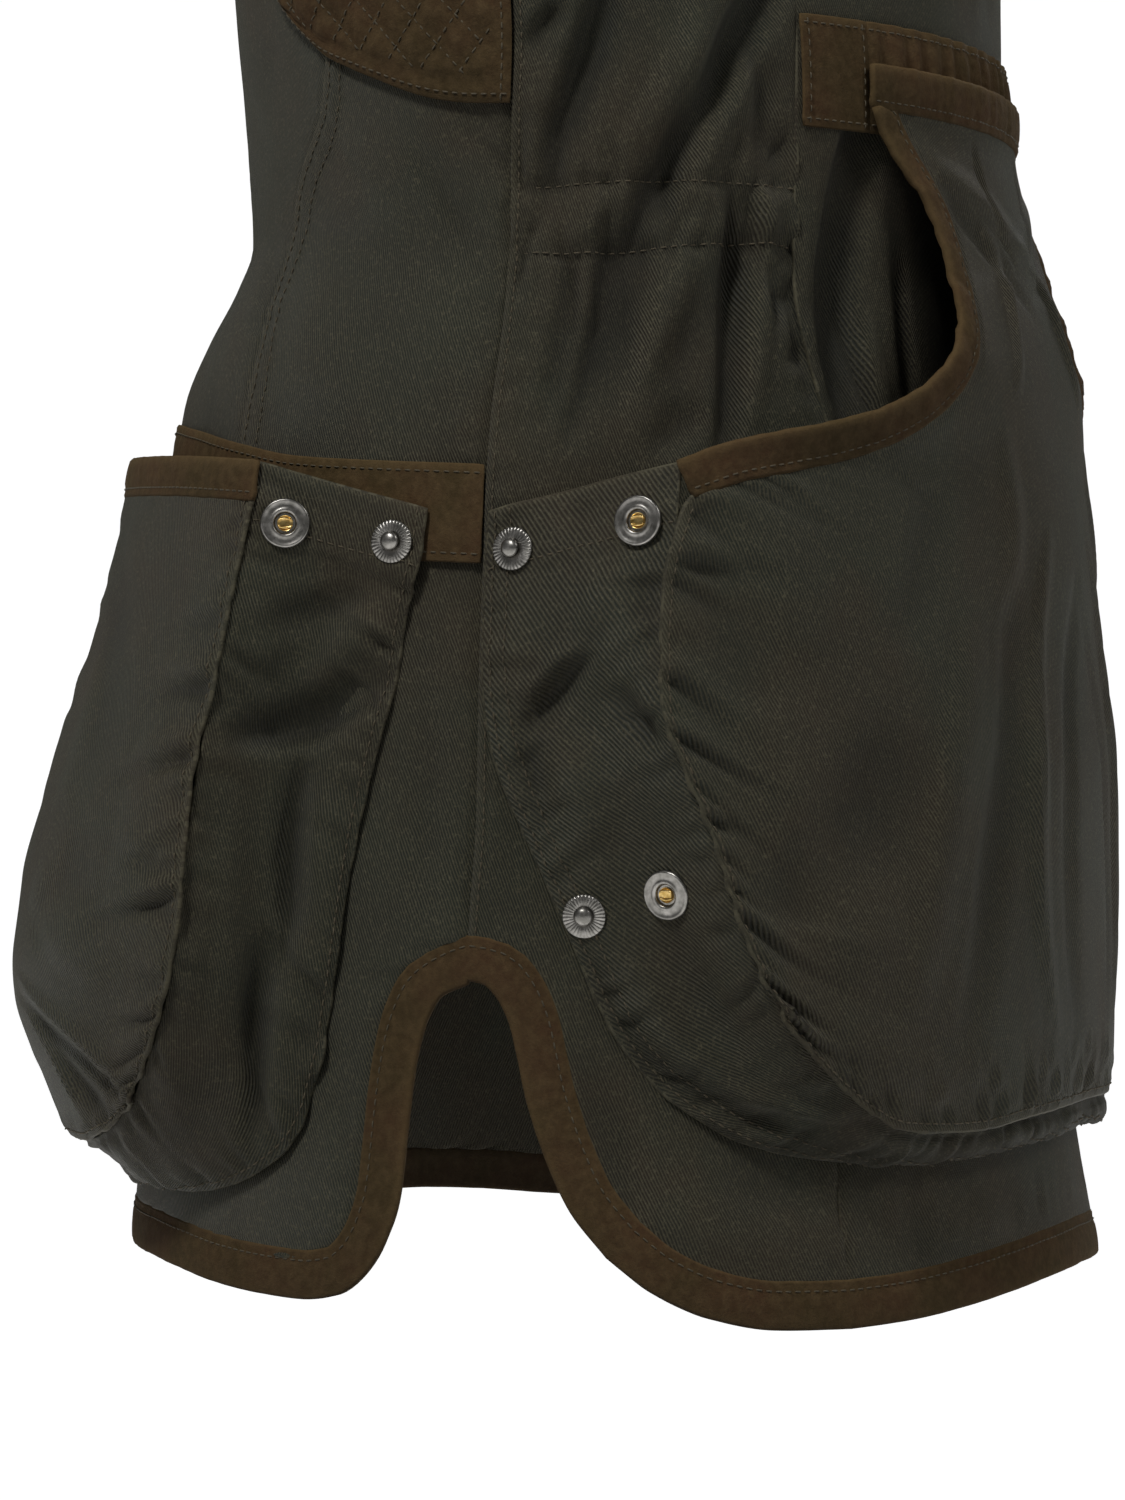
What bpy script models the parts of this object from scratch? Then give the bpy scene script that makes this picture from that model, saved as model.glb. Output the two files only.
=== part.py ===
"""A shooting vest of waxed twill with suede trim, standing as on a wearer who isn't there.

Metres, +Z up, the front towards -Y, the wearer's left at +X. The origin is the middle of the
neck at shoulder height, where a wearer holds the vest up. Heights in the tables are measured
from the waist and turns are measured from the middle of the front round to the wearer's left.
The cloth is a set of walls, each lofted between an outer net and an inner net of points that
are worked out on one body form and moved out by the folds, pockets and bands.
"""
import math

import bpy
import numpy as np
from mathutils import Vector

NAME = "shooting_vest"

# driving sizes, in metres
NECK_HEIGHT = 0.430        # shoulder at the neck, above the waist
ARMPIT_HEIGHT = 0.190
NECK_HALF = 0.078
SHOULDER_SLOPE = 0.45
SHOULDER_ROUND = 3.2       # how full the chest stays below the shoulder
GIRTH = 0.155              # metres of cloth for each radian of turn, over the whole body
WAIST_GIRTH = 0.145        # the same where the folds are laid
BELT_GIRTH = 0.13          # the same at the belt
CLOTH = 0.0015
SUEDE = 0.0012
SEAM = 0.0003              # between two pieces that are sewn together
CENTRE_GAP = 0.0004        # from the middle of the front to each side's edge
LIFT_OFF = 0.0005          # between a panel and what lies on it
BAND_OFF = 0.0009          # the same where the waist curves in
PATCH_OFF = 0.0014         # the same under the quilted patch
BINDING = 0.0125
HEM_BINDING = 0.0130
BINDING_PROUD = 0.0004     # how far a binding stands out past the cloth it holds
V_DROP = 0.024             # the neck binding's inner corner below its inset line at the V
PATCH_INSET = 0.0025       # from the quilted patch to the armhole's binding
END_ROW = 0.004            # a net's row nearer than this to the net's end is left out
WIDE_REACH = 0.012         # how far round a spot the cloth beneath is looked at
SHORT_REACH = 0.008
GATHER_RISE = 0.0008       # the waist's gathers
GATHER_SINK = 0.0006
GATHER_REACH = 0.032
TRIM = 0.0098
PLACKET_HALF = 0.019
SNAP_HEIGHTS = (-0.262, -0.162, -0.062, 0.038, 0.138)

# height, half width, depth to the front, depth to the back, centre set back, all in mm
BODY = (
    (-350, 187.0, 156.0, 156.0, -3.0),
    (-305, 182.0, 155.0, 149.5, -3.0),
    (-278, 178.0, 154.0, 144.5, -3.0),
    (-200, 171.0, 151.0, 136.0, -2.0),
    (-150, 167.0, 150.0, 131.0, -1.0),
    (-90, 162.0, 149.0, 127.0, 0.0),
    (-52, 157.0, 144.0, 122.0, 0.0),
    (-31, 154.0, 135.0, 119.5, 0.0),
    (-14, 151.0, 125.5, 118.0, 0.0),
    (0, 150.0, 120.0, 118.0, 0.0),
    (40, 152.0, 120.0, 119.5, -1.0),
    (84, 156.0, 122.0, 121.5, -4.0),
    (140, 166.5, 127.0, 124.0, -5.0),
    (190, 175.0, 130.0, 125.0, -4.0),
    (260, 181.0, 129.0, 125.0, -2.0),
    (340, 182.0, 123.0, 122.0, 1.0),
    (430, 178.0, 115.0, 117.0, 4.0),
)

# seams and cut edges of the left side: turn in degrees, height in mm
SIDE_SEAM_LOW = ((92, -217), (92.6, -188), (92.2, -144), (92, -106), (92, -92))
SIDE_SEAM_HIGH = ((92, -92), (92.2, -76), (92.8, -52), (93.8, -28), (94.2, 2), (94.8, 32), (96, 61),
                  (96.5, 100), (95.5, 145), (93, 177.5))
PRINCESS_SEAM = ((54.3, -83), (54.5, -62), (54.3, -45), (53, -29), (51.5, -14), (52, 0), (55.5, 14),
                 (60, 27), (63.5, 42), (64.5, 65), (64, 110), (62, 160), (60, 228))
BACK_SEAM = ((136, -318), (136, -240), (139, -120), (140, -65), (137.8, -47), (136, -26), (135.5, 0),
             (136, 40), (137, 90), (136, 190), (135, 300), (135, 430))
UPPER_JOIN = ((0, -74), (25, -74), (41, -77), (54.3, -83), (66, -88), (78, -91), (92, -92))
HEM_FRONT = ((0, -318), (14, -318), (28, -318), (40, -318), (50, -319.5), (59, -322), (67, -323.5),
             (73, -324), (77.8, -322), (81, -316), (83.4, -306), (84.8, -293), (85.2, -279),
             (85.6, -264), (86.2, -251), (87.2, -241), (89, -233.5), (92, -230.5))
HEM_VENT = ((92, -229), (94.2, -230), (96.2, -234.5), (97.8, -242), (98.9, -252), (99.8, -262),
            (101, -272), (102.6, -283), (105, -296), (109, -309.5))
HEM_SIDE = ((109, -309.5), (114, -320), (120, -327.5), (127, -331.5), (136, -332.5))
HEM_BACK = ((136, -332.5), (144, -331.5), (152, -329.5), (161, -327), (170, -325), (180, -324))

# heights in mm of the nets' rows, and how many steps the other edges take
SIDE_ROWS = (-92, -62, -34, -14.5, -4, 6.5, 26, 54, 92, 135, 177.5)
CHEST_ROWS = (228, 255, 290, 325, 358, 386, 407, 421, 430)
SHOULDER_ROWS = (190, 195, 207) + CHEST_ROWS
CHEST_STEPS = len(CHEST_ROWS) - 1
FRONT_STEPS = 4
VENT_STEPS, SIDE_STEPS, BACK_STEPS = 8, 6, 6
NAPE_STEPS = 4
CHEST_SPLITS = (2, 3, 3, 3, 2, 2, 1, 1)    # rows of quilting in each row of the chest
FRONT_SPLITS = (2, 1, 1, 1)                # and in each step under the arm
ARMHOLE_CHEST = ((60, 430), (58, 385), (55.5, 330), (55, 290), (56.5, 255), (60, 228))
ARMHOLE_FRONT = ((60, 228), (68, 206), (76, 196), (84, 191.5), (93, 190))
ARMHOLE_BACK = ((93, 190), (102, 194), (111, 204), (119, 224), (124, 255), (126, 295), (125, 340),
                (122, 390), (120, 430))
NECK_FRONT = ((0, 230), (6.5, 278), (13, 328), (19.5, 380), (26, 430))
NECK_BACK = ((180, 408), (170, 409.5), (162, 415), (156.5, 423), (154, 430))

# main folds of the cloth at the side and back: start turn and height, end turn and height,
# half width in mm, height in mm (a trough is negative)
FOLDS = (
    (112, 62, 100, 14, 13, -2.4),
    (118, 30, 106, -62, 15, -2.8),
    (124, 66, 110, -10, 12, 1.6),
    (130, -8, 116, -66, 14, -2.2),
    (133, 60, 127, 14, 10, -1.6),
    (152, 16, 158, -60, 16, 1.6),
    (166, 10, 172, -80, 18, -2.2),
    (128, 215, 146, 120, 18, -2.0),
    (150, 240, 160, 130, 20, 1.8),
    (101, 150, 118, 105, 15, -2.2),
)
CASING_TOP = 0.0065
CASING_BOTTOM = -0.0145
CASING_TURNS = (94.3, 135.5)   # the drawn-in stretch of the waist
CASING_GATHERS = 10
CASING_ROWS = (-14.5, -4, 6.5)
BELT_TOP = 0.060
BELT_BOTTOM = 0.027
BELT_START = 136.6             # turn where the suede belt is sewn on
BELT_GATHERED = 147.5
BELT_GATHERS = 22
POUCH_TOP = 0.034
TOP_BAND_TOP = 0.0465

# how far the pouch stands off the body: height, at the back seam of the body, at its edge, in mm
POUCH_LIFT = (
    (-290, 7.0, 14.0),
    (-275, 11.0, 20.0),
    (-260, 14.5, 25.0),
    (-240, 16.5, 29.0),
    (-200, 18.5, 32.0),
    (-160, 21.5, 33.0),
    (-120, 19.5, 32.0),
    (-80, 18.5, 30.0),
    (-50, 19.0, 28.5),
    (-23, 15.0, 24.0),
    (0, 10.0, 17.0),
    (20, 6.5, 8.5),
    (34, 4.6, 4.6),
    (60, 4.6, 4.6),
)
POUCH_OPENING = ((147, 34), (148.5, 23), (151, 12.5), (152.8, 3), (153.4, -10), (153.6, -24),
                 (152, -37), (148.5, -49), (143, -59.5), (136, -67.5), (128, -72.5), (120, -77), (114.6, -82))
POUCH_EDGE = ((114.6, -82), (114.3, -98), (113.3, -113), (112.8, -130), (112.9, -148), (114.2, -163),
              (117.3, -184), (119.4, -203), (122, -224), (126, -244), (131, -260), (136.5, -272),
              (143, -278), (152, -278.5), (163, -275.5), (180, -274))
POUCH_BASE = ((92.9, -92), (92.7, -112), (92.8, -138), (93.6, -154), (95.6, -170), (99, -188),
              (102.6, -206), (105.8, -224), (108.8, -240), (112.5, -255), (118, -268), (125, -278),
              (134, -284), (146, -286), (162, -284), (180, -283))

# front bellows pocket: height, how far its face stands off at its front edge, middle, rear edge, in mm
POCKET_LIFT = (
    (-310, 8.0, 10.0, 12.0),
    (-300, 11.0, 16.0, 18.0),
    (-288, 16.0, 23.0, 24.0),
    (-270, 24.0, 32.5, 30.0),
    (-258, 29.0, 38.5, 34.0),
    (-243, 34.0, 43.5, 37.5),
    (-226, 36.0, 45.5, 39.5),
    (-205, 36.0, 44.5, 39.5),
    (-180, 33.0, 39.0, 38.0),
    (-145, 27.0, 30.0, 34.0),
    (-120, 22.0, 23.5, 31.0),
    (-90, 17.0, 17.5, 26.0),
    (-70, 15.0, 15.5, 23.5),
)
POCKET_EDGE_REAR = ((68.2, -79), (68, -90), (68, -101), (67.4, -119), (67, -140), (66.4, -160),
                    (66.2, -180), (66.2, -200), (66, -218), (64.6, -237), (61.6, -255), (56.5, -271))
POCKET_EDGE_BOTTOM = ((56.5, -271), (50, -280.5), (42, -285), (34, -285), (27, -280), (22.5, -270))
POCKET_EDGE_FRONT = ((22.5, -270), (19.5, -252), (18, -226), (17.4, -195), (17.6, -160), (18, -120),
                     (18.6, -95), (19, -73))
POCKET_BASE = ((85.1, -91), (84.5, -106), (83, -119), (81.7, -141), (79.8, -162), (78, -184),
               (76.8, -204), (75.8, -228), (74.6, -252), (71.8, -276), (64, -290), (54, -296),
               (42, -298), (29, -295), (18.5, -286), (13, -266), (11, -236), (10.3, -196),
               (10.3, -156), (10.6, -118), (11, -82))
HIP_BAND_TOP = ((8.2, -58), (25, -58), (40.8, -62), (53.8, -68), (66, -73.5), (78, -76), (91.6, -78))
HIP_BAND_WIDTH = 0.0285
POCKET_MOUTH = ((19, -70.5), (30, -71.5), (41, -73), (55, -75.5), (68.2, -79))
POCKET_TRIM = 0.0105
PLACKET_BOTTOM = -0.304
PLACKET_TOP = 0.186
PLACKET_THICK = 0.0022
UNDERLAP = 0.0008          # a gusset starts this far behind the face that is sewn over it

GUN_PATCH_INNER = ((56, 67), (52, 80), (48.5, 98), (46, 122), (44, 150), (42.5, 185), (41, 225),
                   (39.5, 270), (38, 320), (36.5, 380), (36, 430))
GUN_PATCH_BOTTOM = ((56, 67), (60, 57), (64, 50), (72, 42.5), (77.5, 37.5), (83, 33.5), (88.5, 31.5), (94.4, 31))
GUN_PATCH_SIDE = ((94.4, 31), (95.6, 61), (96.1, 100), (95.1, 145), (92.4, 177))
QUILT_COLUMNS = 8
QUILT_RISE = 0.0011

# turned profiles of the snaps: radius and rise in mm
SNAP_STUD = ((0, 3.4), (1.7, 3.1), (2.85, 2.1), (2.3, 1.0), (6.1, 0.7), (6.5, 0.2), (6.5, 0), (0, 0))
SOCKET_RING = ((3.3, 0.9), (4.2, 1.7), (6.4, 1.6), (7.5, 0.6), (7.5, 0), (3.3, 0), (3.3, 0.9))
SOCKET_SPRING = ((1.7, 0.7), (2.4, 1.2), (3.0, 0.7), (3.0, 0), (1.7, 0), (1.7, 0.7))
SNAP_CAP = ((0, 1.9), (4.5, 1.6), (6.8, 0.9), (7.5, 0.2), (7.5, 0), (0, 0))
# snaps on a gusset: name, place along its left half and across it, from 0 to 1, stud or socket
POCKET_SNAPS = (("pocket_socket", 0.031, 0.20, "socket"), ("pocket_stud", 0.022, 0.84, "stud"))
POUCH_SNAPS = (("pouch_stud_upper", 0.035, 0.86, "stud"), ("pouch_socket_upper", 0.041, 0.19, "socket"),
               ("pouch_stud_lower", 0.350, 0.88, "stud"), ("pouch_socket_lower", 0.364, 0.40, "socket"))
SNAP_STAND = 0.0010

BODY_TABLE = np.array(BODY) / 1000.0


def eased(x, xs, ys):
    """A smooth curve through the table's points that never overshoots them."""
    xs, ys = np.asarray(xs, float), np.asarray(ys, float)
    step = np.diff(xs)
    slope = np.diff(ys) / step
    ends = np.zeros(len(xs))
    ends[0], ends[-1] = slope[0], slope[-1]
    same_way = slope[:-1] * slope[1:] > 0
    w1, w2 = 2 * step[1:] + step[:-1], step[1:] + 2 * step[:-1]
    with np.errstate(divide="ignore", invalid="ignore"):
        mean = (w1 + w2) / (w1 / slope[:-1] + w2 / slope[1:])
    ends[1:-1] = np.where(same_way, mean, 0.0)
    x = np.clip(x, xs[0], xs[-1])
    i = np.clip(np.searchsorted(xs, x) - 1, 0, len(step) - 1)
    t = (x - xs[i]) / step[i]
    low, high = ys[i], ys[i + 1]
    return (low + (high - low) * t * t * (3 - 2 * t)
            + step[i] * t * (1 - t) * ((1 - t) * ends[i] - t * ends[i + 1]))


def body(turn, height):
    """A point of the body form. Above the armpit the height runs on to the sloping shoulder."""
    wide, front, back, centre = (eased(height, BODY_TABLE[:, 0], BODY_TABLE[:, k]) for k in (1, 2, 3, 4))
    x = wide * np.sin(turn)
    reach = NECK_HEIGHT - ARMPIT_HEIGHT
    up = np.clip((height - ARMPIT_HEIGHT) / reach, 0, 1)
    shoulder = NECK_HEIGHT - SHOULDER_SLOPE * np.clip(np.abs(x) - NECK_HALF, 0, None)
    z = np.where(height > ARMPIT_HEIGHT, ARMPIT_HEIGHT + (shoulder - ARMPIT_HEIGHT) * up, height)
    depth = np.where(np.cos(turn) > 0, front, back) * np.sqrt(1 - up**SHOULDER_ROUND)
    return np.stack([x, centre - depth * np.cos(turn), z - NECK_HEIGHT], -1)


def outward(turn, height):
    """The body form's outward direction."""
    small = 1e-4
    height = np.clip(height, None, NECK_HEIGHT - 2 * small)
    across = body(turn + small, height) - body(turn - small, height)
    upward = body(turn, height + small) - body(turn, height - small)
    way = np.cross(across, upward)
    return way / np.linalg.norm(way, axis=-1, keepdims=True)


def off_body(spots, lift):
    """Points at the spots (turn, height), moved off the body form by lift."""
    turn, height = spots[..., 0], spots[..., 1]
    lift = np.broadcast_to(lift, turn.shape)
    points = body(turn, height) + outward(turn, height) * lift[..., None]
    front = np.cos(turn) > 0
    seam = eased(height, BODY_TABLE[:, 0], BODY_TABLE[:, 4])
    on_top = height > ARMPIT_HEIGHT
    points[..., 1] = np.where(on_top & front, np.minimum(points[..., 1], seam - SEAM), points[..., 1])
    points[..., 1] = np.where(on_top & ~front, np.maximum(points[..., 1], seam + SEAM), points[..., 1])
    return points


def spots_of(table):
    """A table's (degrees, mm) rows as (radians, metres)."""
    return np.array(table, float) * (math.pi / 180, 0.001)


def run(table, count):
    """count + 1 spots evenly along a smooth line through the table's rows."""
    spots = table if isinstance(table, np.ndarray) else spots_of(table)
    flat = spots * (GIRTH, 1.0)
    along = np.r_[0, np.cumsum(np.linalg.norm(np.diff(flat, axis=0), axis=1))]
    at = np.linspace(0, along[-1], count + 1)
    return np.stack([eased(at, along, spots[:, k]) for k in (0, 1)], -1)


def inset(spots, width):
    """The line of spots moved to its left by width, measured on the body form."""
    small = 1e-4
    turn, height = spots[:, 0], np.clip(spots[:, 1], None, NECK_HEIGHT - 2 * small)
    per_turn = np.linalg.norm(body(turn + small, height) - body(turn, height), axis=1) / small
    per_height = np.linalg.norm(body(turn, height + small) - body(turn, height), axis=1) / small
    scale = np.stack([per_turn, per_height], -1)
    way = np.gradient(spots, axis=0) * scale
    way /= np.linalg.norm(way, axis=1, keepdims=True)
    left = np.stack([-way[:, 1], way[:, 0]], -1)
    return spots + left * width / scale


def coons(bottom, top, left, right):
    """A net of spots between four edges that meet at the corners, bottom row first."""
    u = np.linspace(0, 1, len(bottom))[None, :, None]
    v = np.linspace(0, 1, len(left))[:, None, None]
    ruled = (1 - u) * left[:, None] + u * right[:, None] + (1 - v) * bottom[None] + v * top[None]
    corners = ((1 - u) * (1 - v) * bottom[0] + u * (1 - v) * bottom[-1]
               + (1 - u) * v * top[0] + u * v * top[-1])
    return ruled - corners


def hump(x):
    """1 at 0, easing to 0 at 1 and beyond."""
    x = np.clip(np.abs(x), 0, 1)
    return (1 - x * x) ** 2


def folds(turn, height):
    """The soft folds and the drawn-in waist of the side and back panels, alike on both sides."""
    turn = np.where(turn > math.pi, 2 * math.pi - turn, turn)
    lift = np.zeros(np.broadcast(turn, height).shape)
    for turn0, height0, turn1, height1, half, rise in FOLDS:
        start, end = spots_of(((turn0, height0), (turn1, height1))) * (WAIST_GIRTH, 1.0)
        here = np.stack(np.broadcast_arrays(turn * WAIST_GIRTH, height), -1) - start
        line = end - start
        along = np.clip((here @ line) / (line @ line), 0, 1)
        off = np.linalg.norm(here - along[..., None] * line, axis=-1)
        lift += rise / 1000 * hump(off * 1000 / half) * np.sin(math.pi * np.clip(along, 0.02, 0.98)) ** 0.6
    return lift + gathers(turn, height)


def gathers(turn, height):
    """Ripples where the waist casing draws the side panel in, dying away above and below."""
    start, end = np.radians(CASING_TURNS)
    across = np.clip((turn - start) / (end - start), 0, 1)
    middle = (CASING_TOP + CASING_BOTTOM) / 2
    fade = hump((height - middle) / GATHER_REACH) * np.clip(np.minimum(across, 1 - across) / 0.04, 0, 1)
    return fade * (GATHER_RISE * np.cos(2 * math.pi * CASING_GATHERS * across) - GATHER_SINK)


def pouch_lift(turn, height):
    """How far the pouch's outer face stands off the body form."""
    turn = np.where(turn > math.pi, 2 * math.pi - turn, turn)
    table = np.array(POUCH_LIFT) / 1000
    middle, edge = (eased(height, table[:, 0], table[:, k]) for k in (1, 2))
    outline = spots_of(POUCH_OPENING + POUCH_EDGE[1:])[::-1]
    limit = eased(height, outline[3:, 1], outline[3:, 0])
    share = np.clip((math.pi - turn) / (math.pi - np.minimum(limit, math.radians(150))), 0, 1)
    return middle + (edge - middle) * share**1.6


def pocket_lift(turn, height):
    """How far the front pocket's face stands off the body form."""
    table = np.array(POCKET_LIFT) / 1000
    levels = [eased(height, table[:, 0], table[:, k]) for k in (1, 2, 3)]
    where = np.clip((np.degrees(turn) - 18) / (68 - 18), 0, 1)
    bend = hump((where - 0.42) / 0.62)
    straight = levels[0] + (levels[2] - levels[0]) * where
    return straight + (levels[1] - (levels[0] + (levels[2] - levels[0]) * 0.42)) * bend


def near_most(lift, turn, height, reach=WIDE_REACH):
    """The most that lift stands out within reach of a spot, so that what lies there clears it."""
    around = [lift(turn + reach / GIRTH * a, height + reach * b)
              for a in (-1, -0.5, 0, 0.5, 1) for b in (-1, 0, 1)]
    return np.maximum(np.max(around, axis=0), 0)


def mesh_object(name, points, faces, material, smooth=True):
    mesh = bpy.data.meshes.new(name)
    mesh.from_pydata([tuple(p) for p in points], [], [tuple(f) for f in faces])
    mesh.materials.append(material)
    mesh.update()
    if smooth:
        mesh.shade_smooth()
        mesh.set_sharp_from_angle(angle=math.radians(40))
    thing = bpy.data.objects.new(name, mesh)
    vest.objects.link(thing)
    return thing


def wall(name, outer, inner, material, closed=False, quilted=False):
    """A closed wall lofted between two nets of points, with its rims. closed joins its last
    column to its first, and quilted splits each cell along the diagonal that the stitching takes."""
    rows, columns = outer.shape[:2]
    points = np.concatenate([outer.reshape(-1, 3), inner.reshape(-1, 3)])
    half = rows * columns
    faces = []
    last = columns if closed else columns - 1

    def at(row, column):
        return row * columns + column % columns

    for row in range(rows - 1):
        for column in range(last):
            a, b = at(row, column), at(row, column + 1)
            c, d = at(row + 1, column + 1), at(row + 1, column)
            cells = [(a, b, c, d)]
            if quilted:
                rising = (row + column) % 2 == 0
                cells = [(a, b, c), (a, c, d)] if rising else [(a, b, d), (b, c, d)]
            faces += cells + [tuple(half + k for k in cell[::-1]) for cell in cells]
    for column in range(last):
        a, b = at(0, column), at(0, column + 1)
        faces.append((half + a, half + b, b, a))
        a, b = at(rows - 1, column), at(rows - 1, column + 1)
        faces.append((a, b, half + b, half + a))
    if not closed:
        for row in range(rows - 1):
            a, b = at(row, 0), at(row + 1, 0)
            faces.append((a, b, half + b, half + a))
            a, b = at(row, columns - 1), at(row + 1, columns - 1)
            faces.append((half + a, half + b, b, a))
    if enclosed(points, faces) < 0:
        faces = [face[::-1] for face in faces]
    return mesh_object(name, points, faces, material)


def enclosed(points, faces):
    """Six times the volume inside the faces, negative if they face inwards."""
    fans = [(face[0], face[k], face[k + 1]) for face in faces for k in range(1, len(face) - 1)]
    a, b, c = np.moveaxis(points[np.array(fans)], 1, 0)
    return np.sum(a * np.cross(b, c))


def zipped(low, high):
    """Faces between two rows of point numbers, which may differ in how many they hold."""
    if len(low) == len(high):
        return [(low[k], low[k + 1], high[k + 1], high[k]) for k in range(len(low) - 1)]
    faces, i, j = [], 0, 0
    while i < len(low) - 1 or j < len(high) - 1:
        next_low = (i + 1) / (len(low) - 1) if i < len(low) - 1 else 2
        next_high = (j + 1) / (len(high) - 1) if j < len(high) - 1 else 2
        if next_low <= next_high:
            faces.append((low[i], low[i + 1], high[j]))
            i += 1
        else:
            faces.append((low[i], high[j + 1], high[j]))
            j += 1
    return faces


def wall_of_rows(name, outer, inner, material):
    """A closed wall between two nets whose rows may hold unlike numbers of points."""
    points = np.concatenate(outer + inner)
    half = sum(len(row) for row in outer)
    starts = np.r_[0, np.cumsum([len(row) for row in outer])]
    rows = [list(range(starts[k], starts[k + 1])) for k in range(len(outer))]
    faces = []
    for low, high in zip(rows[:-1], rows[1:]):
        between = zipped(low, high)
        faces += between + [tuple(half + k for k in face[::-1]) for face in between]
        for a, b in ((high[0], low[0]), (low[-1], high[-1])):
            faces.append((b, a, half + a, half + b))
    for row, step in ((rows[0], 1), (rows[-1], -1)):
        line = row[::step]
        faces += [(b, a, half + a, half + b) for a, b in zip(line[:-1], line[1:])]
    if enclosed(points, faces) < 0:
        faces = [face[::-1] for face in faces]
    return mesh_object(name, points, faces, material)


def flipped(net):
    """The net of the other side of the body, with its columns turned round."""
    other = net[:, ::-1].copy()
    other[..., 0] *= -1
    return other


def both_sides(name, outer, inner, material, closed=False, quilted=False):
    """The wall on the wearer's left and its mirror on the right."""
    wall(name + "_left", outer, inner, material, closed, quilted)
    wall(name + "_right", flipped(outer), flipped(inner), material, closed, quilted)


def panel_nets(spots, lift, thick, plain=None):
    """Outer and inner nets of a panel. plain is the lift that the inner net follows."""
    under = lift if plain is None else plain
    return off_body(spots, lift), off_body(spots, under - thick)


def shrink(spots, left=0.0, right=0.0, bottom=0.0, top=0.0):
    """Moves a net's edges in by half seams, so that sewn pieces stay apart."""
    spots = spots.copy()
    spots[:, 0, 0] += left / GIRTH
    spots[:, -1, 0] -= right / GIRTH
    spots[0, :, 1] += bottom
    spots[-1, :, 1] -= top
    return spots


def joined(*lines):
    """Lines that meet end to end, as one line."""
    return np.concatenate([lines[0]] + [line[1:] for line in lines[1:]])


def at_heights(table, heights):
    """The spots of a line that only rises, or only falls, at heights in mm."""
    spots = spots_of(table)
    if spots[0, 1] > spots[-1, 1]:
        spots = spots[::-1]
    height = np.array(heights) / 1000
    return np.stack([eased(height, spots[:, 1], spots[:, 0]), height], -1)


def armhole():
    """The armhole's cut edge, from the shoulder down the chest and up the back to the shoulder."""
    return joined(at_heights(ARMHOLE_CHEST, CHEST_ROWS[::-1]), run(ARMHOLE_FRONT, FRONT_STEPS),
                  at_heights(ARMHOLE_BACK, SHOULDER_ROWS))


def armhole_inner():
    """Where the armhole's binding ends and the cloth begins."""
    return inset(armhole(), -BINDING)


def neck_line():
    """The cut edge of the V, from its bottom to the shoulder."""
    return at_heights(NECK_FRONT, (NECK_FRONT[0][1],) + CHEST_ROWS[1:])


def neck_inner():
    """Where the neck's binding ends and the cloth of the front begins, from the bottom of the V."""
    line = inset(neck_line(), -BINDING)
    line[0] = (0, line[0, 1] - V_DROP)
    return line


def make_front(materials):
    """Centre front, side front and lower front of both sides."""
    half = SEAM / 2
    neck = neck_inner()
    left = joined(centre_line(), neck)
    arm = armhole_inner()
    chest, under = arm[:CHEST_STEPS + 1][::-1], arm[CHEST_STEPS:CHEST_STEPS + FRONT_STEPS + 1]
    seam = run(PRINCESS_SEAM, len(SIDE_ROWS) - 1)
    seam[-1] = chest[0]
    right = joined(seam, chest)
    top = np.stack([np.linspace(left[-1, 0], right[-1, 0], 6), np.full(6, NECK_HEIGHT)], -1)
    spots = coons(run(UPPER_JOIN[:4], 5), top, left, right)
    spots = shrink(spots, CENTRE_GAP, half, half)
    both_sides("front_centre", *panel_nets(spots, 0.0, CLOTH), materials["twill"])

    side = side_seam_high()
    side[-1] = under[-1]
    under = np.stack([np.interp(np.linspace(0, FRONT_STEPS, 5), range(FRONT_STEPS + 1), under[:, k])
                      for k in (0, 1)], -1)
    seam = run(PRINCESS_SEAM, len(SIDE_ROWS) - 1)
    seam[-1] = under[0]
    spots = coons(run(UPPER_JOIN[3:], 4), under, seam, side)
    spots = shrink(spots, half, half, half)
    both_sides("front_side", *panel_nets(spots, 0.0, CLOTH), materials["twill"])

    spots = shrink(front_lower_spots(), CENTRE_GAP, half, 0, half)
    both_sides("front_lower", *panel_nets(spots, 0.0, CLOTH), materials["twill"])


def centre_line():
    """The middle edge of the upper front, from the waist join to the bottom of the V."""
    heights = np.linspace(UPPER_JOIN[0][1] / 1000, neck_inner()[0, 1], len(SIDE_ROWS))
    return np.stack([np.zeros(len(heights)), heights], -1)


def side_seam_high():
    """The side seam from the waist join to the armpit, at the side rows."""
    return at_heights(SIDE_SEAM_HIGH, SIDE_ROWS)


def front_lower_spots():
    """The lower front panel, from the hem and the vent to the waist join."""
    hem = inset(run(HEM_FRONT, 18), HEM_BINDING)
    corner = 11
    low, vent = hem[:corner + 1], hem[corner:]
    side = run(SIDE_SEAM_LOW, 4)
    vent[-1] = side[0]
    right = joined(vent, side)
    join = UPPER_JOIN[0][1] / 1000
    rise = (right[:, 1] - right[0, 1]) / (right[-1, 1] - right[0, 1])
    left = np.stack([np.zeros(len(right)), low[0, 1] + rise * (join - low[0, 1])], -1)
    return coons(low, run(UPPER_JOIN, corner), left, right)


def back_hem():
    """The cut edge of the back of the hem, from the top of the vent to the middle of the back."""
    runs = (run(HEM_VENT, VENT_STEPS), run(HEM_SIDE, SIDE_STEPS), run(HEM_BACK, BACK_STEPS))
    return np.concatenate([runs[0], runs[1][1:], runs[2][1:]])


def mirrored(line):
    """A line that ends at the middle of the back, with its mirror on the other side joined to it."""
    return np.concatenate([line, (line[:-1] * (-1, 1) + (2 * math.pi, 0))[::-1]])


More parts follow.
